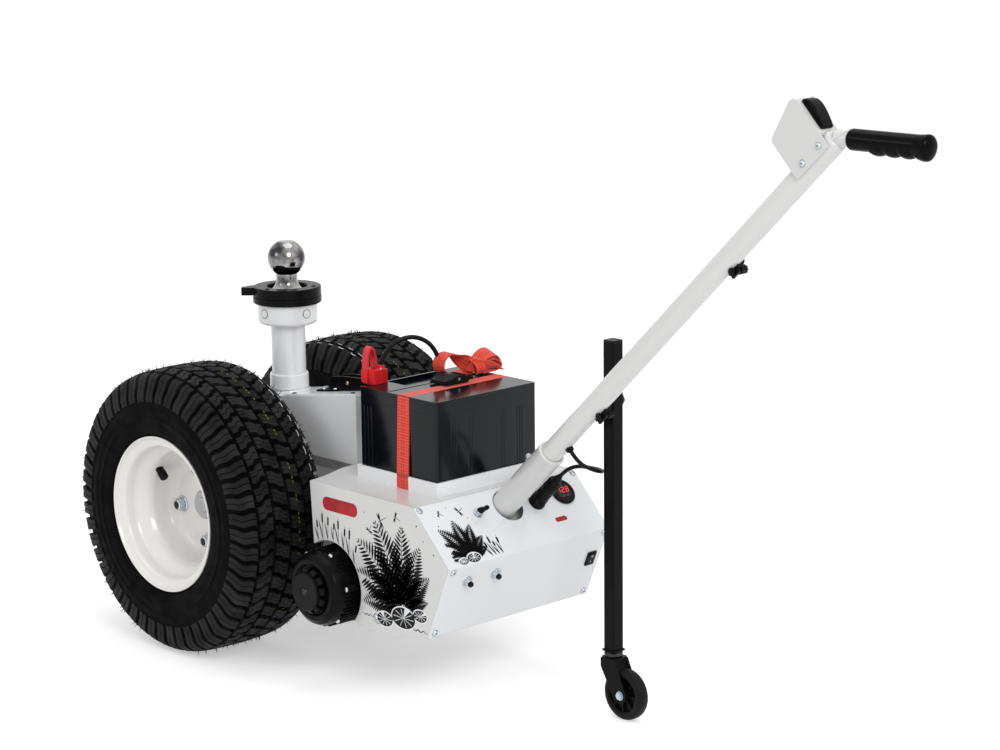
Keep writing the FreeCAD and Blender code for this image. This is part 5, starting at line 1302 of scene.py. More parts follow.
def route(points, middle_x):
    """Band steps through (across, height) points, the band lying flat along X."""
    return [(at(middle_x, across, height), Vector((-1, 0, 0))) for across, height in points]


def strap():
    """Webbing over the battery, outside the tray and down to the body's top."""
    half = BATTERY_SIZE.y / 2
    foot = TRAY_HIGH.y - BATTERY_MID.y + 0.3
    near_half = near(-foot, BODY_TOP_Z, (0, 0.2), (0, 10))
    near_half += near(-foot, TRAY_HIGH.z, (0, -3), (0.3, 2))
    near_half += near(-half, LID_TOP, (-0.2, -6), (-0.1, -1), (0.5, 0.1), (4, 0.1))
    top = [(-half + 4 + (2 * half - 8) * k / 24, LID_TOP + 0.1) for k in range(1, 24)]
    far_half = [(-y, z) for y, z in reversed(near_half)]
    piece = Piece()
    piece.band(route(near(BATTERY_MID.y, 0, *near_half, *top, *far_half), STRAP_X), STRAP_W, WEB)
    piece.make("strap_webbing", WEBBING, sharp=50, replaces="battery_strap")


def buckle():
    """Cam buckle: side cheeks, a knurled cam under a thumb lever, and its cross pin."""
    low, high = corners("strap_buckle")
    x, y, z = (low.x + high.x) / 2, (low.y + high.y) / 2, low.z
    length = high.x - low.x
    turn = spin(90) @ spin(90, "X")
    piece, pin = Piece(), Piece()
    piece.prism(rounded_rectangle(length, high.y - low.y, 6), z + 0.2, z + 2.8, upright(x, y, 0))
    cheek = [(-20, 2.5), (22, 2.5), (22, 7), (10, 11.5), (2, 12.4), (-8, 10), (-16, 6.5)]
    for back in (-length / 2 + 1.6, length / 2 - 1.6):
        piece.prism(cheek, -1.4, 1.4, upright(x + back, y, z) @ turn)
    lever = smooth_through([(-22, 4.8), (-10, 8.6), (2, 11.6), (12, 10.2), (21, 8.0),
                            (24.5, 9.4)], 4)
    piece.prism(lever + near(0, -3.4, *lever[::-1]), -length / 2 + 4, length / 2 - 4,
                upright(x, y, z) @ turn)
    for across in (12, 15.5, 19):
        piece.box(length - 12, 1.4, 1.2, upright(x, y + across, z + 9.2))
    piece.make("strap_buckle_body", BLACK_PLASTIC, bevel=0.6, replaces="strap_buckle")
    pin.turned(rectangle(0, 2.4, -length / 2 + 0.1, length / 2 - 0.1),
               tilted(at(x, y + 2, z + 6.5), 90), 20)
    pin.make("strap_buckle_pin", STEEL)


# The bow's bands, each a width and its knots: x, y, height, and the band's direction across.
FLAT, FACING, LEANING = (1, 0, 0), (0.28, 0.54, 0.79), (0.8, 0.3, 0.5)
LEFT_LOOP = (STRAP_W, [
    (354, 80, 5, FLAT), (353, 58, 2, FLAT), (353, 38, 2, FLAT), (353, 26, 8, FLAT),
    (353, 21, 18, FLAT), (353, 25, 28.5, FLAT), (354, 35, 34, FLAT), (356, 46, 32, FLAT),
    (359, 57, 24, LEANING), (364, 69, 15, FACING), (369, 80, 6, FACING)])
RIGHT_LOOP = (STRAP_W, [
    (366, 80, 11, (1, 0, -0.3)), (367, 91, 22, (1, 0, -0.38)), (367, 104, 27.5, (1, 0, -0.4)),
    (365, 117, 26, (1, 0, -0.38)), (362, 126, 19, (1, 0, -0.3)), (360, 129, 10, (1, 0, -0.2)),
    (363, 122, 3.4, (1, 0, -0.1)), (367, 106, 2, FLAT), (367, 86, 2.4, FLAT)])
INNER_LOOP = (STRAP_W - 2, [
    (*knot, (1, 0.1, -0.22)) for knot in (
        (366, 82, 8), (367, 94, 16.5), (368, 107, 20.5), (369, 119, 16.5), (369, 123, 10),
        (368, 118, 5.6), (367, 102, 4.6), (366, 86, 5))])
TAIL = (STRAP_W - 3, [
    (371, 66, 16, FACING), (376, 78, 12.5, FACING), (380, 92, 9.5, (0.4, 0.4, 0.8)),
    (380, 104, 6.5, (0.7, 0.2, 0.5)), (378, 114, 4, (0.95, 0.0, 0.2)), (376, 122, 1.5, FLAT)])
WRAP = (STRAP_W * 0.72, [
    (*knot, (0, 1, 0.1)) for knot in (
        (353, 80, 1), (350, 79, 12), (356, 78, 21), (368, 78, 23), (379, 79, 17),
        (383, 80, 8), (379, 81, 1))])


def bow():
    """The strap's loose end tied in a bow: a tall loop, two folded layers, a tail and a knot."""
    piece = Piece()
    foot = corners("strap_bow")[0].z
    for width, knots in (LEFT_LOOP, RIGHT_LOOP, INNER_LOOP, TAIL, WRAP):
        line = smooth_through([(x, y, foot + z, *across) for x, y, z, across in knots], 5)
        piece.band([(at(x, y, z), Vector(across).normalized()) for x, y, z, *across in line],
                   width, WEB)
    piece.make("strap_bow_webbing", WEBBING, sharp=50, replaces="strap_bow")


# The cords' routes, as in the solids.
BATTERY_LEAD = (
    (304.0, -53.0, 473.4), (308.6, -43.5, 496.1), (317.5, -25.1, 510.4), (328.3, -2.7, 512.6),
    (337.9, 17.2, 500.8), (343.6, 28.8, 479.2), (345.0, 32.0, 458.0))
HANDLE_LEAD = (
    (572.4, 57.0, 329.3), (584.7, 57.0, 341.1), (607.0, 58.0, 350.5), (640.0, 51.0, 354.5),
    (668.0, 46.0, 356.5), (682.5, 32.0, 359.0), (682.5, 13.0, 365.0), (665.4, 0.0, 374.8),
    (651.6, 0.0, 389.2))


def power_connector():
    """Red two-pole connector: a block with the lead's neck behind it, and its pull strap."""
    low, high = corners("power_connector")
    left, front, top = low.x, low.y, LID_TOP + 22
    middle, width, block = (left + high.x) / 2, high.x - left, 25
    neck_x, neck_y, neck = BATTERY_LEAD[0]
    piece, pull, screws = Piece(), Piece(), Piece()
    piece.box(width - 0.4, block, top - LID_TOP - 0.1,
              upright(middle, front + 3.4 + block / 2, LID_TOP + 0.1))
    piece.box(16, 12, top - LID_TOP - 3, upright(left + 8.4, front + block + 8, LID_TOP + 0.1))
    piece.turned([(0, LID_TOP + 2), (6.4, LID_TOP + 2), (6.4, top + 1), (5.4, top + 3),
                  (4.6, neck), (0, neck)], upright(neck_x, neck_y, 0), 28)
    for height in (5, 10, 15):
        piece.box(width - 6, 1.4, 1.8, upright(middle, front + 3.2, LID_TOP + height))
    piece.box(13.5, 2.4, 19, upright(left + 7, front + 1.4, LID_TOP + 2))
    piece.make("power_connector_housing", RED, bevel=0.8, replaces="power_connector")
    path = smooth_through([(front + 2.0, LID_TOP + 3)] + near(
        front, top, (2.0, 0), (2.2, 15), (5.5, 28), (11.5, 33.5), (17.5, 28), (20.6, 15),
        (21, -1)), 5)
    pull.band(route(path, left + 7), 12.5, 3.0)
    pull.make("power_connector_pull", RED_SOFT, bevel=0.4, sharp=50)
    cap_screw(screws, upright(high.x - 5, front + 21, top), 2.4)
    screws.make("power_connector_screws", STEEL)


def terminal_boot():
    """Soft cap over the battery's terminal, tapered to the lead."""
    low, high = corners("terminal_boot")
    radius = (high.x - low.x) / 2
    piece = Piece()
    piece.turned([(0, low.z)] + near(radius, low.z, (0, 0), (0, 4), (-1, 5.5))
                 + near(radius, high.z, (-1.2, -6), (-3, -1.6)) + [(4.4, high.z), (0, high.z)],
                 upright((low.x + high.x) / 2, (low.y + high.y) / 2, 0), 32)
    piece.make("terminal_boot_cap", BLACK_PLASTIC, bevel=0.3, replaces="terminal_boot")


def lead(name, node, points, diameter, **facts):
    """A cord along the same route as its CAD tube."""
    curve = bpy.data.curves.new(name, "CURVE")
    curve.dimensions = "3D"
    line = curve.splines.new("NURBS")
    line.points.add(len(points) - 1)
    for knot, point in zip(line.points, points):
        knot.co = (*at(*point), 1)
    line.order_u = 3
    line.use_endpoint_u = True
    line.resolution_u = 16
    curve.bevel_depth = diameter / 2
    curve.bevel_resolution = 5
    curve.use_fill_caps = True
    curve.materials.append(CORD)
    cable = new_object(name, curve)
    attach(cable, "root")
    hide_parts(node)


battery()
strap()
buckle()
bow()
power_connector()
terminal_boot()
lead("battery_lead_cable", "battery_lead", BATTERY_LEAD, 0.007, length=0.1442,
     stiffness="stiff", lay="loose")


# ---------------------------------------------------------------- gear drum, knob and motor
DRUM = local_mm(centre("gear_drum"))
DRUM_AXIS = sideways(DRUM.x, 0, DRUM.z, -1)
DRUM_R = size_mm("gear_drum").x / 2
DRUM_OUT, DRUM_IN = [-corner.y for corner in corners("gear_drum")]
DRUM_BODY_R = DRUM_R - 5.5
KNOB_R = size_mm("clutch_knob").x / 2
KNOB_OUT = -corners("clutch_knob")[0].y
LOBES = range(8, 360, 60)
LOBE_REACH = 5.4         # how far a lobe stands out of the drum,
LOBE_HALF = 8.0          # and half its width in degrees
WEDGES = 12              # the knob's teeth


def from_lobe(degrees):
    """The angle to the nearest bolt lobe of the drum."""
    return min(abs((degrees - lobe + 180) % 360 - 180) for lobe in LOBES)


def gear_drum():
    """Gearbox housing with bolt lobes, fine cooling ribs and bright bolts."""
    piece, bolts = Piece(), Piece()
    piece.turned([(0, DRUM_IN)] + near(DRUM_R, DRUM_IN, (0, 0), (0, 7), (-1.2, 8), (-4.6, 8.2)),
                 DRUM_AXIS, 96)
    outline = []
    for angle in [step * 1.5 for step in range(240)]:
        swell = max(0.0, 1 - (from_lobe(angle) / LOBE_HALF) ** 2)
        outline.append(polar(DRUM_BODY_R + LOBE_REACH * swell, angle))
    piece.prism(outline, DRUM_IN + 8, DRUM_OUT - 22, DRUM_AXIS)
    piece.turned(near(DRUM_BODY_R, DRUM_OUT, (0.4, -24), (-0.2, -12), (-3.5, -5), (-9, -1.2))
                 + near(0, DRUM_OUT, (46, -0.2), (40, 0), (36, -3), (0, -3)), DRUM_AXIS, 96)
    rib = near(DRUM_BODY_R, 0, (-2, -1.1), (2.9, -0.7), (2.9, 0.7), (-2, 1.1))
    for step in range(60):
        if from_lobe(step * 6) > LOBE_HALF:
            piece.prism(rib, DRUM_IN + 10, DRUM_OUT - 17 - 4 * (step % 2),
                        DRUM_AXIS @ spin(step * 6))
    piece.make("gear_drum_housing", BLACK_PAINT, bevel=0.4, sharp=30, replaces="gear_drum")
    for lobe in LOBES:
        bolts.turned([(0, 3.8), (2.4, 3.8), (3.6, 3.1), (4.2, 2.0), (4.2, -1)],
                     DRUM_AXIS @ spin(lobe) @ shift(DRUM_BODY_R - 0.4, 0, DRUM_OUT - 22), 20)
    bolts.make("gear_drum_bolts", ZINC, bevel=0.2)


def clutch_knob():
    """Knob that couples the drive: a flat disc over a ring of wedge teeth."""
    piece, screw = Piece(), Piece()
    piece.turned([(KNOB_R - 7, DRUM_OUT - 3), (KNOB_R - 7, KNOB_OUT - 5)], DRUM_AXIS, 64)
    piece.turned([(0, KNOB_OUT - 5.5)] + near(
        KNOB_R, KNOB_OUT, (-1.6, -5.5), (-1, -4.9), (-1, -2), (-2.4, -0.6)) + near(
        0, KNOB_OUT, (9, -0.6), (8.4, -1.2), (0, -1.2)), DRUM_AXIS, 72)
    foot = DRUM_OUT - KNOB_OUT
    wedge = near(KNOB_R, 0, (-10, 2 + foot), (4.5, 2 + foot), (3.6, 6 + foot), (-0.4, -5.5),
                 (-10, -5.5))
    for step in range(WEDGES):
        turn = spin(LOBES[0] + step * 360 / WEDGES)
        piece.prism(wedge, -5.2, 5.2, DRUM_AXIS @ turn @ shift(0, 0, KNOB_OUT) @ spin(90, "X"))
    piece.make("clutch_knob_disc", BLACK_PLASTIC, bevel=0.5, sharp=30, replaces="clutch_knob")
    screw.turned(near(0, KNOB_OUT, (0, -0.9), (2.8, -0.9), (3.1, -0.1), (5.0, -0.1),
                      (5.6, -1.3)), DRUM_AXIS, 28)
    screw.make("clutch_knob_screw", DARK_METAL)


def drive_motor():
    """Motor can with end caps and four screws, in line with the drum."""
    low, high = corners("drive_motor")
    radius = (high.x - low.x) / 2
    place = sideways(DRUM.x, 0, DRUM.z, 1)
    piece = Piece()
    piece.turned([(0, low.y)] + near(radius, low.y, (0, 0), (0, 14), (-1.2, 15))
                 + near(radius, high.y, (-1.2, -24), (0, -23), (0, -6), (-3, -1))
                 + near(0, high.y, (24, -0.4), (20, 0), (0, 0)), place, 80)
    for angle in (45, 135, 225, 315):
        cap_screw(piece, place @ spin(angle) @ shift(radius - 9, 0, high.y - 2.4), 3.4)
    piece.make("drive_motor_can", BLACK_PAINT, bevel=0.4, sharp=30, replaces="drive_motor")


gear_drum()
clutch_knob()
drive_motor()


# ---------------------------------------------------------------- handle
HANDLE_R = 15.9
SOCKET_R = 20.6
SOCKET_TOP = 135.0
HANDLE_END = 848.0
GRIP_SLOPE = 0.4         # the photo's grip is nearly level
STUB_R = 11.0
GRIP_START = 22.0        # from the handle's axis
GRIP_LENGTH = 127.0
GRIP_R = 14.0
GRIP_RINGS = 120
GRIP_SIDES = 56
GRIP_NOSE = 0.02         # shares of the grip's length: its rounded front edge,
GRIP_FLARE = 0.8         # where it widens towards its end,
GRIP_TURN = 0.94         # where the end rounds over,
BUMPS_START = 0.26       # and where the four finger bumps run
BUMPS_END = 0.99
BOX_START = 773.0        # the switch box along the handle,
BOX_LENGTH = 69.0
BOX_LOW = 59.0           # its height above the handle's axis at both ends,
BOX_HIGH = 80.0
BOX_HALF = 19.0          # and half its width
THUMB_LENGTH = 48


def on_grip(along, above=0, side=0):
    """Local Z runs out along the grip from the handle's upper end, and local X points down."""
    x, z = polar(1, GRIP_SLOPE)
    step = Vector((x, 0, z)) * along + Vector((-z, 0, x)) * above + Vector((0, side, 0))
    return tilted(HANDLE_FOOT + ALONG * HANDLE_END * MM + step * MM, 90 - GRIP_SLOPE)


def handle():
    """Socket with its rolled lip, and the handle tube closed by a welded cap."""
    socket, tube, button, grommet = Piece(), Piece(), Piece(), Piece()
    bore = HANDLE_R + 0.35
    socket.turned([(bore, -26), (SOCKET_R - 0.6, -26)]
                  + near(SOCKET_R, SOCKET_TOP, (-0.6, -7), (0, -5.6), (0, -1.6), (-1.4, 0))
                  + near(bore, SOCKET_TOP, (0.8, 0), (0, -0.8)), on_handle(0), 72, closed=True)
    socket.make("handle_socket_tube", WHITE, sharp=40, replaces="handle_socket")
    tube.turned(near(HANDLE_R, -26, (-2.5, 0), (0, 0)) + near(
        HANDLE_R, HANDLE_END, (0, -5), (-1.0, -2), (-3.5, -0.4), (-7, 0), (-HANDLE_R, 0),
        (-HANDLE_R, -4), (-2.5, -4)), on_handle(0), 72)
    tube.make("handle_long_tube", WHITE, sharp=40, replaces="handle_tube")
    button.turned([(7, -1.5), (7, 0.4), (5.2, 0.9), (4.4, 0.9), (4.4, 5.8), (3.4, 7.4), (0, 7.8)],
                  on_handle(90, SOCKET_R - 1) @ spin(-90, "Y"), 32)
    button.make("handle_lock_button", STEEL, bevel=0.2, replaces="handle_lock_pin")
    grommet.turned([(3.0, 14), (6, 14.8), (6, 18.5), (5.2, 20), (4.2, 21), (3.0, 21)],
                   on_handle(168) @ spin(90, "Y"), 32)
    grommet.make("handle_grommet", BLACK_PLASTIC, replaces="lead_grommet")


def grip_radius(share, below):
    """The grip's radius at a share of its length, fuller by its bumps on the lower side."""
    radius = GRIP_R
    if share < GRIP_NOSE:
        radius = GRIP_R - 1.5 * (1 - share / GRIP_NOSE)
    if share > GRIP_FLARE:
        swell = (share - GRIP_FLARE) / (1 - GRIP_FLARE)
        radius = GRIP_R + 1.6 * math.sin(swell * math.pi / 2) ** 2
    if share > GRIP_TURN:
        radius -= 7.5 * ((share - GRIP_TURN) / (1 - GRIP_TURN)) ** 2.4
    if BUMPS_START < share < BUMPS_END:
        phase = (share - BUMPS_START) / (BUMPS_END - BUMPS_START) * 4
        radius += 4.2 * abs(math.sin(math.pi * phase)) ** 0.6 * below
    return radius


def grip():
    """White stub, and a glossy grip with finger bumps underneath and a flared end."""
    stub, weld, piece = Piece(), Piece(), Piece()
    stub.turned([(STUB_R, 0), (STUB_R, GRIP_START + 0.2), (9, GRIP_START + 0.2)], on_grip(0), 48)
    stub.make("grip_stub_tube", WHITE, replaces="grip_stub")
    steep = math.radians(HANDLE_ANGLE - GRIP_SLOPE)
    path = []
    for above, across in arc(0, 0, STUB_R + 0.4, 0, 360, 48):
        reach = (HANDLE_R ** 2 - across ** 2) ** 0.5
        along = (reach + above * math.cos(steep)) / math.sin(steep) - 14.5
        path.append(on_grip(max(along, -9), above, across).translation)
    x, z = polar(1, GRIP_SLOPE)
    weld.swept(path, polygon(7, 1.7), up=Vector((x, 0, z)))
    weld.make("grip_weld", WHITE)
    points, faces = [], []
    for ring in range(GRIP_RINGS + 1):
        share = ring / GRIP_RINGS
        for x, y in polygon(GRIP_SIDES, 1):
            radius = grip_radius(share, max(0.0, x) ** 2)
            points.append((radius * x, radius * y, GRIP_START + GRIP_LENGTH * share))
        if ring < GRIP_RINGS:
            faces += walls(ring * GRIP_SIDES, (ring + 1) * GRIP_SIDES, GRIP_SIDES)
    points.append((0, 0, GRIP_START + GRIP_LENGTH))
    last = GRIP_RINGS * GRIP_SIDES
    faces += [(last + i, last + (i + 1) % GRIP_SIDES, len(points) - 1)
              for i in range(GRIP_SIDES)]
    piece.add(points, faces + [range(GRIP_SIDES - 1, -1, -1)], on_grip(0))
    piece.make("hand_grip_vinyl", SOFT_BLACK, sharp=60, replaces="hand_grip")


def switch_box():
    """Folded sheet box straddling the handle, held by four screws."""
    place = on_handle(BOX_START) @ spin(90, "X")
    piece, screws = Piece(), Piece()
    plate = rounded_corners([(6, 0), (-BOX_LOW, 0), (-BOX_HIGH, BOX_LENGTH), (6, BOX_LENGTH)],
                            (2.5, 9, 10, 2.5))
    piece.prism(plate, -BOX_HALF, -BOX_HALF + 2, place)
    piece.prism(plate, BOX_HALF - 2, BOX_HALF, place)
    rims = []
    for inset, foot, deep, radii in ((0.6, -15.2, 0.4, (1.5, 8.6, 9.6, 1.5)),
                                     (2.4, -13.5, 2, (1.5, 7, 8, 1.5))):
        rims.append(rounded_corners([(foot, deep), (-BOX_LOW + inset, deep),
                                     (-BOX_HIGH + inset, BOX_LENGTH - deep),
                                     (foot, BOX_LENGTH - deep)], radii))
    piece.framed_plate(*rims, -BOX_HALF + 1.8, BOX_HALF - 1.8, place)
    piece.make("switch_box_sheet", WHITE, bevel=0.5, sharp=30, replaces="switch_box")
    for along, above in ((829.9, 4.2), (794.3, 4.1)):
        for side in (-1, 1):
            pan_screw(screws, on_handle(along, above, side * BOX_HALF) @ spin(-90 * side, "X"),
                      4.4)
    screws.make("switch_box_screws", ZINC, bevel=0.2)


def thumb_switch():
    """Long rocker in its bezel on the box's upper face."""
    place = on_handle(BOX_START + BOX_LENGTH) @ shift(12 - BOX_HIGH + THUMB_LENGTH / 2, 0, 0)
    bezel, button = Piece(), Piece()
    bezel.prism(rounded_rectangle(THUMB_LENGTH, 24, 3), 0.1, 3.0, place)
    bezel.make("thumb_switch_bezel", BLACK_PLASTIC, bevel=0.6, replaces="thumb_switch")
    profile = smooth_through([(-22, 3.8), (-18, 8.4), (-9, 10.6), (0, 10.2), (9, 8.6),
                              (18, 6.4), (22, 4.0)], 5)
    button.prism([(-22.4, 1.5)] + profile + [(22.4, 1.5)], -9.6, 9.6, place @ spin(90, "X"))
    button.make("thumb_switch_rocker", BLACK_PLASTIC, bevel=1.8, sharp=30)


handle()
grip()
switch_box()
thumb_switch()


# ---------------------------------------------------------------- caster leg
PIVOT = local_mm(centre("swivel_bearing"))
LEG_LOW, LEG_HIGH = corners("leg_tube")
LEG_Y = (LEG_LOW.y + LEG_HIGH.y) / 2
LEG_AXIS = upright(PIVOT.x, LEG_Y, 0)
HINGE_S = 255            # the leg's hinge and its clip, along the handle
CLIP_S = 594
HINGE_Z = HANDLE_FOOT.z / MM + HINGE_S * ALONG.z
CASTER = local_mm(centre("caster_wheel"))
CASTER_R = size_mm("caster_wheel").x / 2
CASTER_HALF = size_mm("caster_wheel").y / 2
FORK_HALF = CASTER_HALF + 4
FORK_SHEET = 2.5
SADDLE_START = -8.0      # degrees round the handle, from straight below it to the leg's side
SADDLE_END = 118.0
EAR_ANGLE = SADDLE_START + 4


def leg():
    """Square tube with its end cap, bushes, foot plate and swivel bearing."""
    dress("leg_tube", BLACK_PAINT, 1.6)
    cap, bush, plate, bearing = Piece(), Piece(), Piece(), Piece()
    cap.prism(rounded_rectangle(20.6, 20.6, 2.8), LEG_HIGH.z - 3, LEG_HIGH.z + 1.2, LEG_AXIS)
    cap.make("leg_end_cap", BLACK_PLASTIC, "leg", bevel=1.0)
    for side in (-1, 1):
        bush.turned(rectangle(5.15, 7.6, -0.5, 0.7),
                    sideways(PIVOT.x, LEG_Y + side * 10, HINGE_Z, side), 28, closed=True)
    bush.make("leg_bushes", DARK_METAL, "leg")
    plate.prism(rounded_rectangle(25, 25, 3), LEG_LOW.z + 0.1, LEG_LOW.z + 2.6, LEG_AXIS)
    plate.make("leg_foot_plate", BLACK_PAINT, "leg", bevel=0.5)
    low, high = [corner.z for corner in corners("swivel_bearing")]
    bearing.turned(near(0, low, (0, 0), (11, 0), (13.4, 1.4))
                   + near(0, high, (13.4, -2.4), (11.6, -0.4), (0, 0)), LEG_AXIS, 48)
    bearing.make("swivel_race", DARK_METAL, "leg", replaces="swivel_bearing")


def fork():
    """Pressed steel fork with a rounded crown, its axle, nuts and the swivel's rivet."""
    top = corners("caster_fork")[1].z
    cheek = rounded_corners([
        (-13, top - 1), (15, top - 1), (36.5, CASTER_R + 4), (36, CASTER_R - 9.5),
        (14, CASTER_R - 9.5), (-13, top - 15)], (3, 5, 5, 6, 6, 4))
    piece, pin = Piece(), Piece()
    for side in (-1, 1):
        place = upright(PIVOT.x, LEG_Y + side * (FORK_HALF - FORK_SHEET / 2), 0)
        piece.prism(cheek, -FORK_SHEET / 2, FORK_SHEET / 2, place @ spin(90, "X"))
        spot = sideways(CASTER.x, LEG_Y + side * FORK_HALF, CASTER.z, side)
        pin.turned(rectangle(0, 6.8, -1, 0.1), spot, 28)
        pin.prism(polygon(6, 5.9), 0.1, 2.3, spot)
        pin.turned([(0, 2), (3.2, 2), (3.2, 2.8), (2.6, 3.0), (0, 3.0)], spot, 20)
    crown = rounded_corners(rectangle(-13.5, 15.5, -FORK_HALF, FORK_HALF), (6, 4, 4, 6))
    piece.prism(crown, top - FORK_SHEET, top, LEG_AXIS)
    piece.make("caster_fork_sheet", BLACK_PAINT, "caster_swivel", bevel=0.7,
               replaces="caster_fork")
    pin.turned(rectangle(0, 3.95, -FORK_HALF, FORK_HALF),
               sideways(CASTER.x, LEG_Y, CASTER.z, 1), 24)
    pin.turned([(0, -1.4), (6.0, -1.4), (6.0, 0.6), (4.6, 1.6), (0, 1.8)],
               LEG_AXIS @ shift(0, 0, top - 3.8) @ spin(180, "X"), 28)
    pin.make("caster_axle", ZINC, "caster_swivel", bevel=0.2)


def caster():
    """Solid wheel: rounded black tread on a black hub with spokes and thread guards."""
    place = sideways(CASTER.x, LEG_Y, CASTER.z, 1)
    tread, hub = Piece(), Piece()
    edge = [(CASTER_R - 9.5, CASTER_HALF - 0.3)] + smooth_through(near(
        CASTER_R, CASTER_HALF, (-9, 0), (-5, -0.4), (-1.6, -2.6), (-0.2, -6),
        (0, -CASTER_HALF)), 5)
    tread.turned(flipped(edge[::-1]) + edge[-2::-1], place, 96, closed=True)
    tread.make("caster_tyre", CASTER_BLACK, "caster", sharp=50, replaces="caster_wheel")
    half_hub = [(10, 3), (CASTER_R - 13, 3)][::-1] + near(
        0, CASTER_HALF, (10, -1.4), (9.5, -0.2), (4.1, -0.2))
    half_hub = near(CASTER_R, CASTER_HALF, (-9.3, -1.0), (-12, -1.6)) + half_hub
    hub.turned(flipped(half_hub) + half_hub, place, 72, closed=True)
    for step in range(8):
        for low, high in ((2.2 - CASTER_HALF, -2.6), (2.6, CASTER_HALF - 2.2)):
            hub.prism(rectangle(9, CASTER_R - 11, -1, 1), low, high, place @ spin(step * 45))
    hub.make("caster_hub", BLACK_PLASTIC, "caster", bevel=0.3, slot="caster_tread")


def clamp(name, along, length, node):
    """A half saddle on the leg's side of the handle, with a bolted ear and a hand knob below."""
    piece, knob = Piece(), Piece()
    place = on_handle(along)
    outer, half = HANDLE_R + 4.0, length / 2
    saddle = arc(0, 0, outer, SADDLE_START, SADDLE_END, 20)
    saddle += arc(0, 0, HANDLE_R + 0.08, SADDLE_END, SADDLE_START, 20)
    piece.prism(saddle, -half, half, place)
    piece.prism(rectangle(outer - 1.5, outer + 6.5, -2.2, 2.2), 3 - half, half - 3,
                place @ spin(EAR_ANGLE))
    piece.make(name + "_saddle", BLACK_PAINT, bevel=0.5, replaces=node)
    spot = on_handle(along, -19) @ spin(90, "X")
    knob.turned(rectangle(0, 3, -9, 6.5), spot, 20)
    knob.prism(polygon(6, 5.4), 5.8, 8.6, spot)
    lobes = [polar(6.1 + 0.5 * math.cos(math.radians(8 * angle)), angle)
             for angle in [step * 7.5 for step in range(48)]]
    knob.prism(lobes, -19.9, -8, spot)
    knob.make(name + "_knob", BLACK_PLASTIC, bevel=0.6)


def hinge_and_clip():
    """The leg's hinge bolt and the storage clip's back plate."""
    clamp("leg_hinge_clamp", HINGE_S, 26, "leg_hinge")
    bolt, clip = Piece(), Piece()
    spot = sideways(PIVOT.x, 0, HINGE_Z, 1)
    for radius, low, high, sides in (
            (5, HANDLE_R + 1, LEG_Y + 11, 28), (8, HANDLE_R + 2.6, LEG_Y - 11, 32),
            (9, LEG_Y + 11, LEG_Y + 12.2, 32)):
        bolt.turned(rectangle(0, radius, low, high), spot, sides)
    bolt.prism(polygon(6, 8.4), LEG_Y + 12.2, LEG_Y + 16, spot)
    bolt.make("leg_hinge_bolt", DARK_METAL, bevel=0.3)
    clamp("leg_clip_clamp", CLIP_S, 22, "leg_clip")
    clip.prism(rounded_corners(rectangle(-14.5, -12, HANDLE_R - 6, corners("leg_clip")[1].y),
                               (0, 0, 1, 1)), -11, 11, on_handle(CLIP_S))
    clip.make("leg_clip_plate", BLACK_PAINT, bevel=0.5)


leg()
fork()
caster()
hinge_and_clip()
lead("handle_lead_cable", "handle_lead", HANDLE_LEAD, 0.006, length=0.1838, stiffness="limp",
     lay="loose", with_pieces=(plug_body,))
# POST_WHITE_PAINTED_LIGHT on the axle housing, frame box and chain case is brightened as painted
# light, WHITE on the body cover and socket mount is darkened as painted shade, and
# PANEL_WHITE_PAINTED_LIGHT on the rear panel is brightened as painted light.
for node_name, finish, edge_width in (
        ("axle_housing", POST_WHITE_PAINTED_LIGHT, 1.0), ("frame_box", POST_WHITE_PAINTED_LIGHT, 2.0),
        ("chain_case", POST_WHITE_PAINTED_LIGHT, 1.5), ("body_cover", WHITE, 1.2),
        ("rear_panel", PANEL_WHITE_PAINTED_LIGHT, 0.8), ("socket_mount", WHITE, 0.8)):
    dress(node_name, finish, edge_width)


# ---------------------------------------------------------------- stage
SKY_LIGHT = 0.68         # the surroundings' light on the object
FLOOR_GLOW = 0.43        # lifts the seen floor to white and keeps the shadow
CAMERA_PLACE = Vector((2.775, -2.669, 1.300))
CAMERA_TARGET = Vector((-0.1861, 0.1487, 0.4334))
CAMERA_LEVEL = Vector((0.6894, 0.7244, 0))
CAMERA_ROLL = -0.61
CAMERA_LENS = 98.3
LIGHTS = (               # name, place, target, size in metres and power
    ("key", (4.3, -2.0, 3.4), (-0.1, 0.0, 0.35), 2.4, 100),
    ("fill", (-1.8, -3.4, 2.2), (-0.4, 0.0, 0.4), 1.4, 12),
    ("top", (-0.4, 0.4, 3.4), (-0.2, 0.0, 0.3), 2.2, 16))


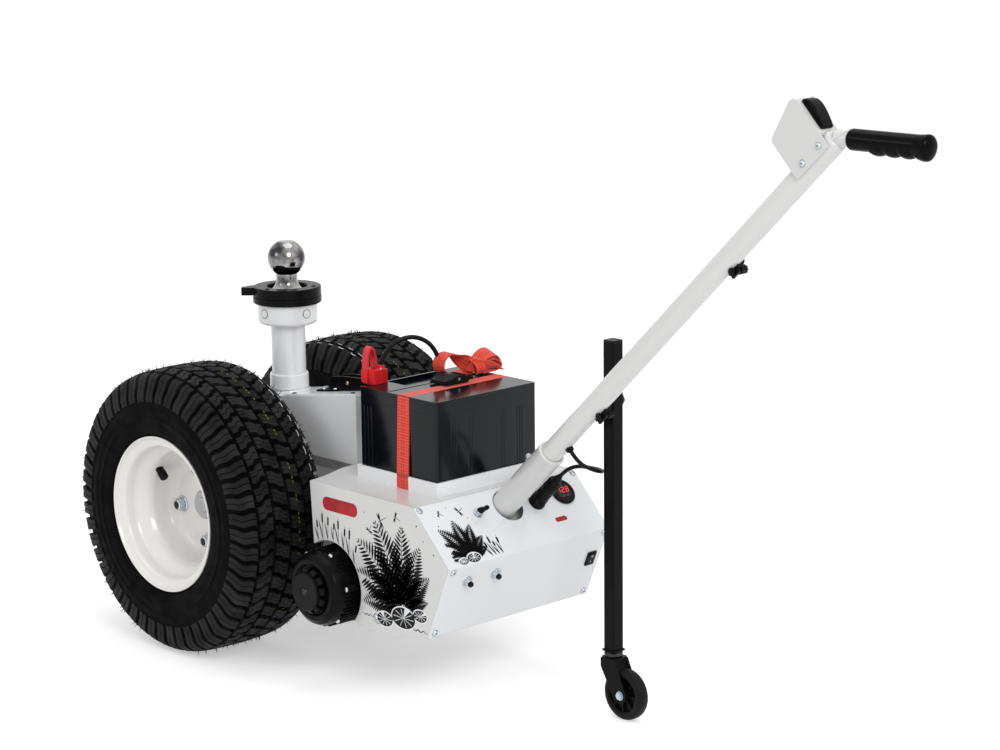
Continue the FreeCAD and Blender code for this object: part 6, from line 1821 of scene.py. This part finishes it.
def by_sight(tree, hidden, seen):
    """One value for rays from the camera, mirrors and glass, and another for all others."""
    rays = tree.nodes.new("ShaderNodeLightPath").outputs
    either = rays["Is Camera Ray"]
    for other in ("Is Glossy Ray", "Is Transmission Ray"):
        either = new_node(tree, "Math", "Value", either, rays[other], operation="MAXIMUM")
    return new_node(tree, "MapRange", "Result", Value=either, To_Min=hidden, To_Max=seen)


def plain_stage():
    """Pale floor, white surroundings and a soft studio light."""
    mesh = bpy.data.meshes.new("floor")
    mesh.from_pydata([(x, y, 0) for x, y in rectangle(-40, 40, -40, 40)], [], [(0, 1, 2, 3)])
    paint = Look("floor_paint", None, (0.86, 0.86, 0.86), 0.75, Specular_IOR_Level=0.1,
                 Emission_Color=(1, 1, 1, 1))
    paint.mottle((0.85, 0.85, 0.85), (0.87, 0.87, 0.87), 2)
    paint.feed("Emission Strength", by_sight(paint.tree, 0, FLOOR_GLOW))
    mesh.materials.append(paint.material)
    new_object("floor", mesh)
    world = bpy.data.worlds.new("surroundings")
    world.use_nodes = True
    sky = world.node_tree.nodes["Background"]
    sky.inputs["Color"].default_value = (1, 1, 1, 1)
    world.node_tree.links.new(by_sight(world.node_tree, SKY_LIGHT, 1.0), sky.inputs["Strength"])
    bpy.context.scene.world = world
    for name, place, target, size, power in LIGHTS:
        data = bpy.data.lights.new(name, "AREA")
        data.shape, data.size, data.energy = "DISK", size, power
        light = new_object(name, data)
        light.location = place
        aim = Vector(target) - Vector(place)
        light.rotation_euler = aim.to_track_quat("-Z", "Y").to_euler()


def camera():
    """Three-quarter view from behind the grip, on the drum's side."""
    back = (CAMERA_PLACE - CAMERA_TARGET).normalized()
    level = CAMERA_LEVEL.normalized()
    lift = back.cross(level)
    cos, sin = polar(1, CAMERA_ROLL)
    right, up = level * cos + lift * sin, lift * cos - level * sin
    data = bpy.data.cameras.new("camera")
    data.lens = CAMERA_LENS
    data.sensor_width = 36
    view = new_object("camera", data)
    turn = Matrix((right, up, back)).transposed().to_4x4()
    view.matrix_world = Matrix.Translation(CAMERA_PLACE) @ turn
    bpy.context.scene.camera = view


plain_stage()
camera()
bpy.context.scene.view_settings.view_transform = "Standard"
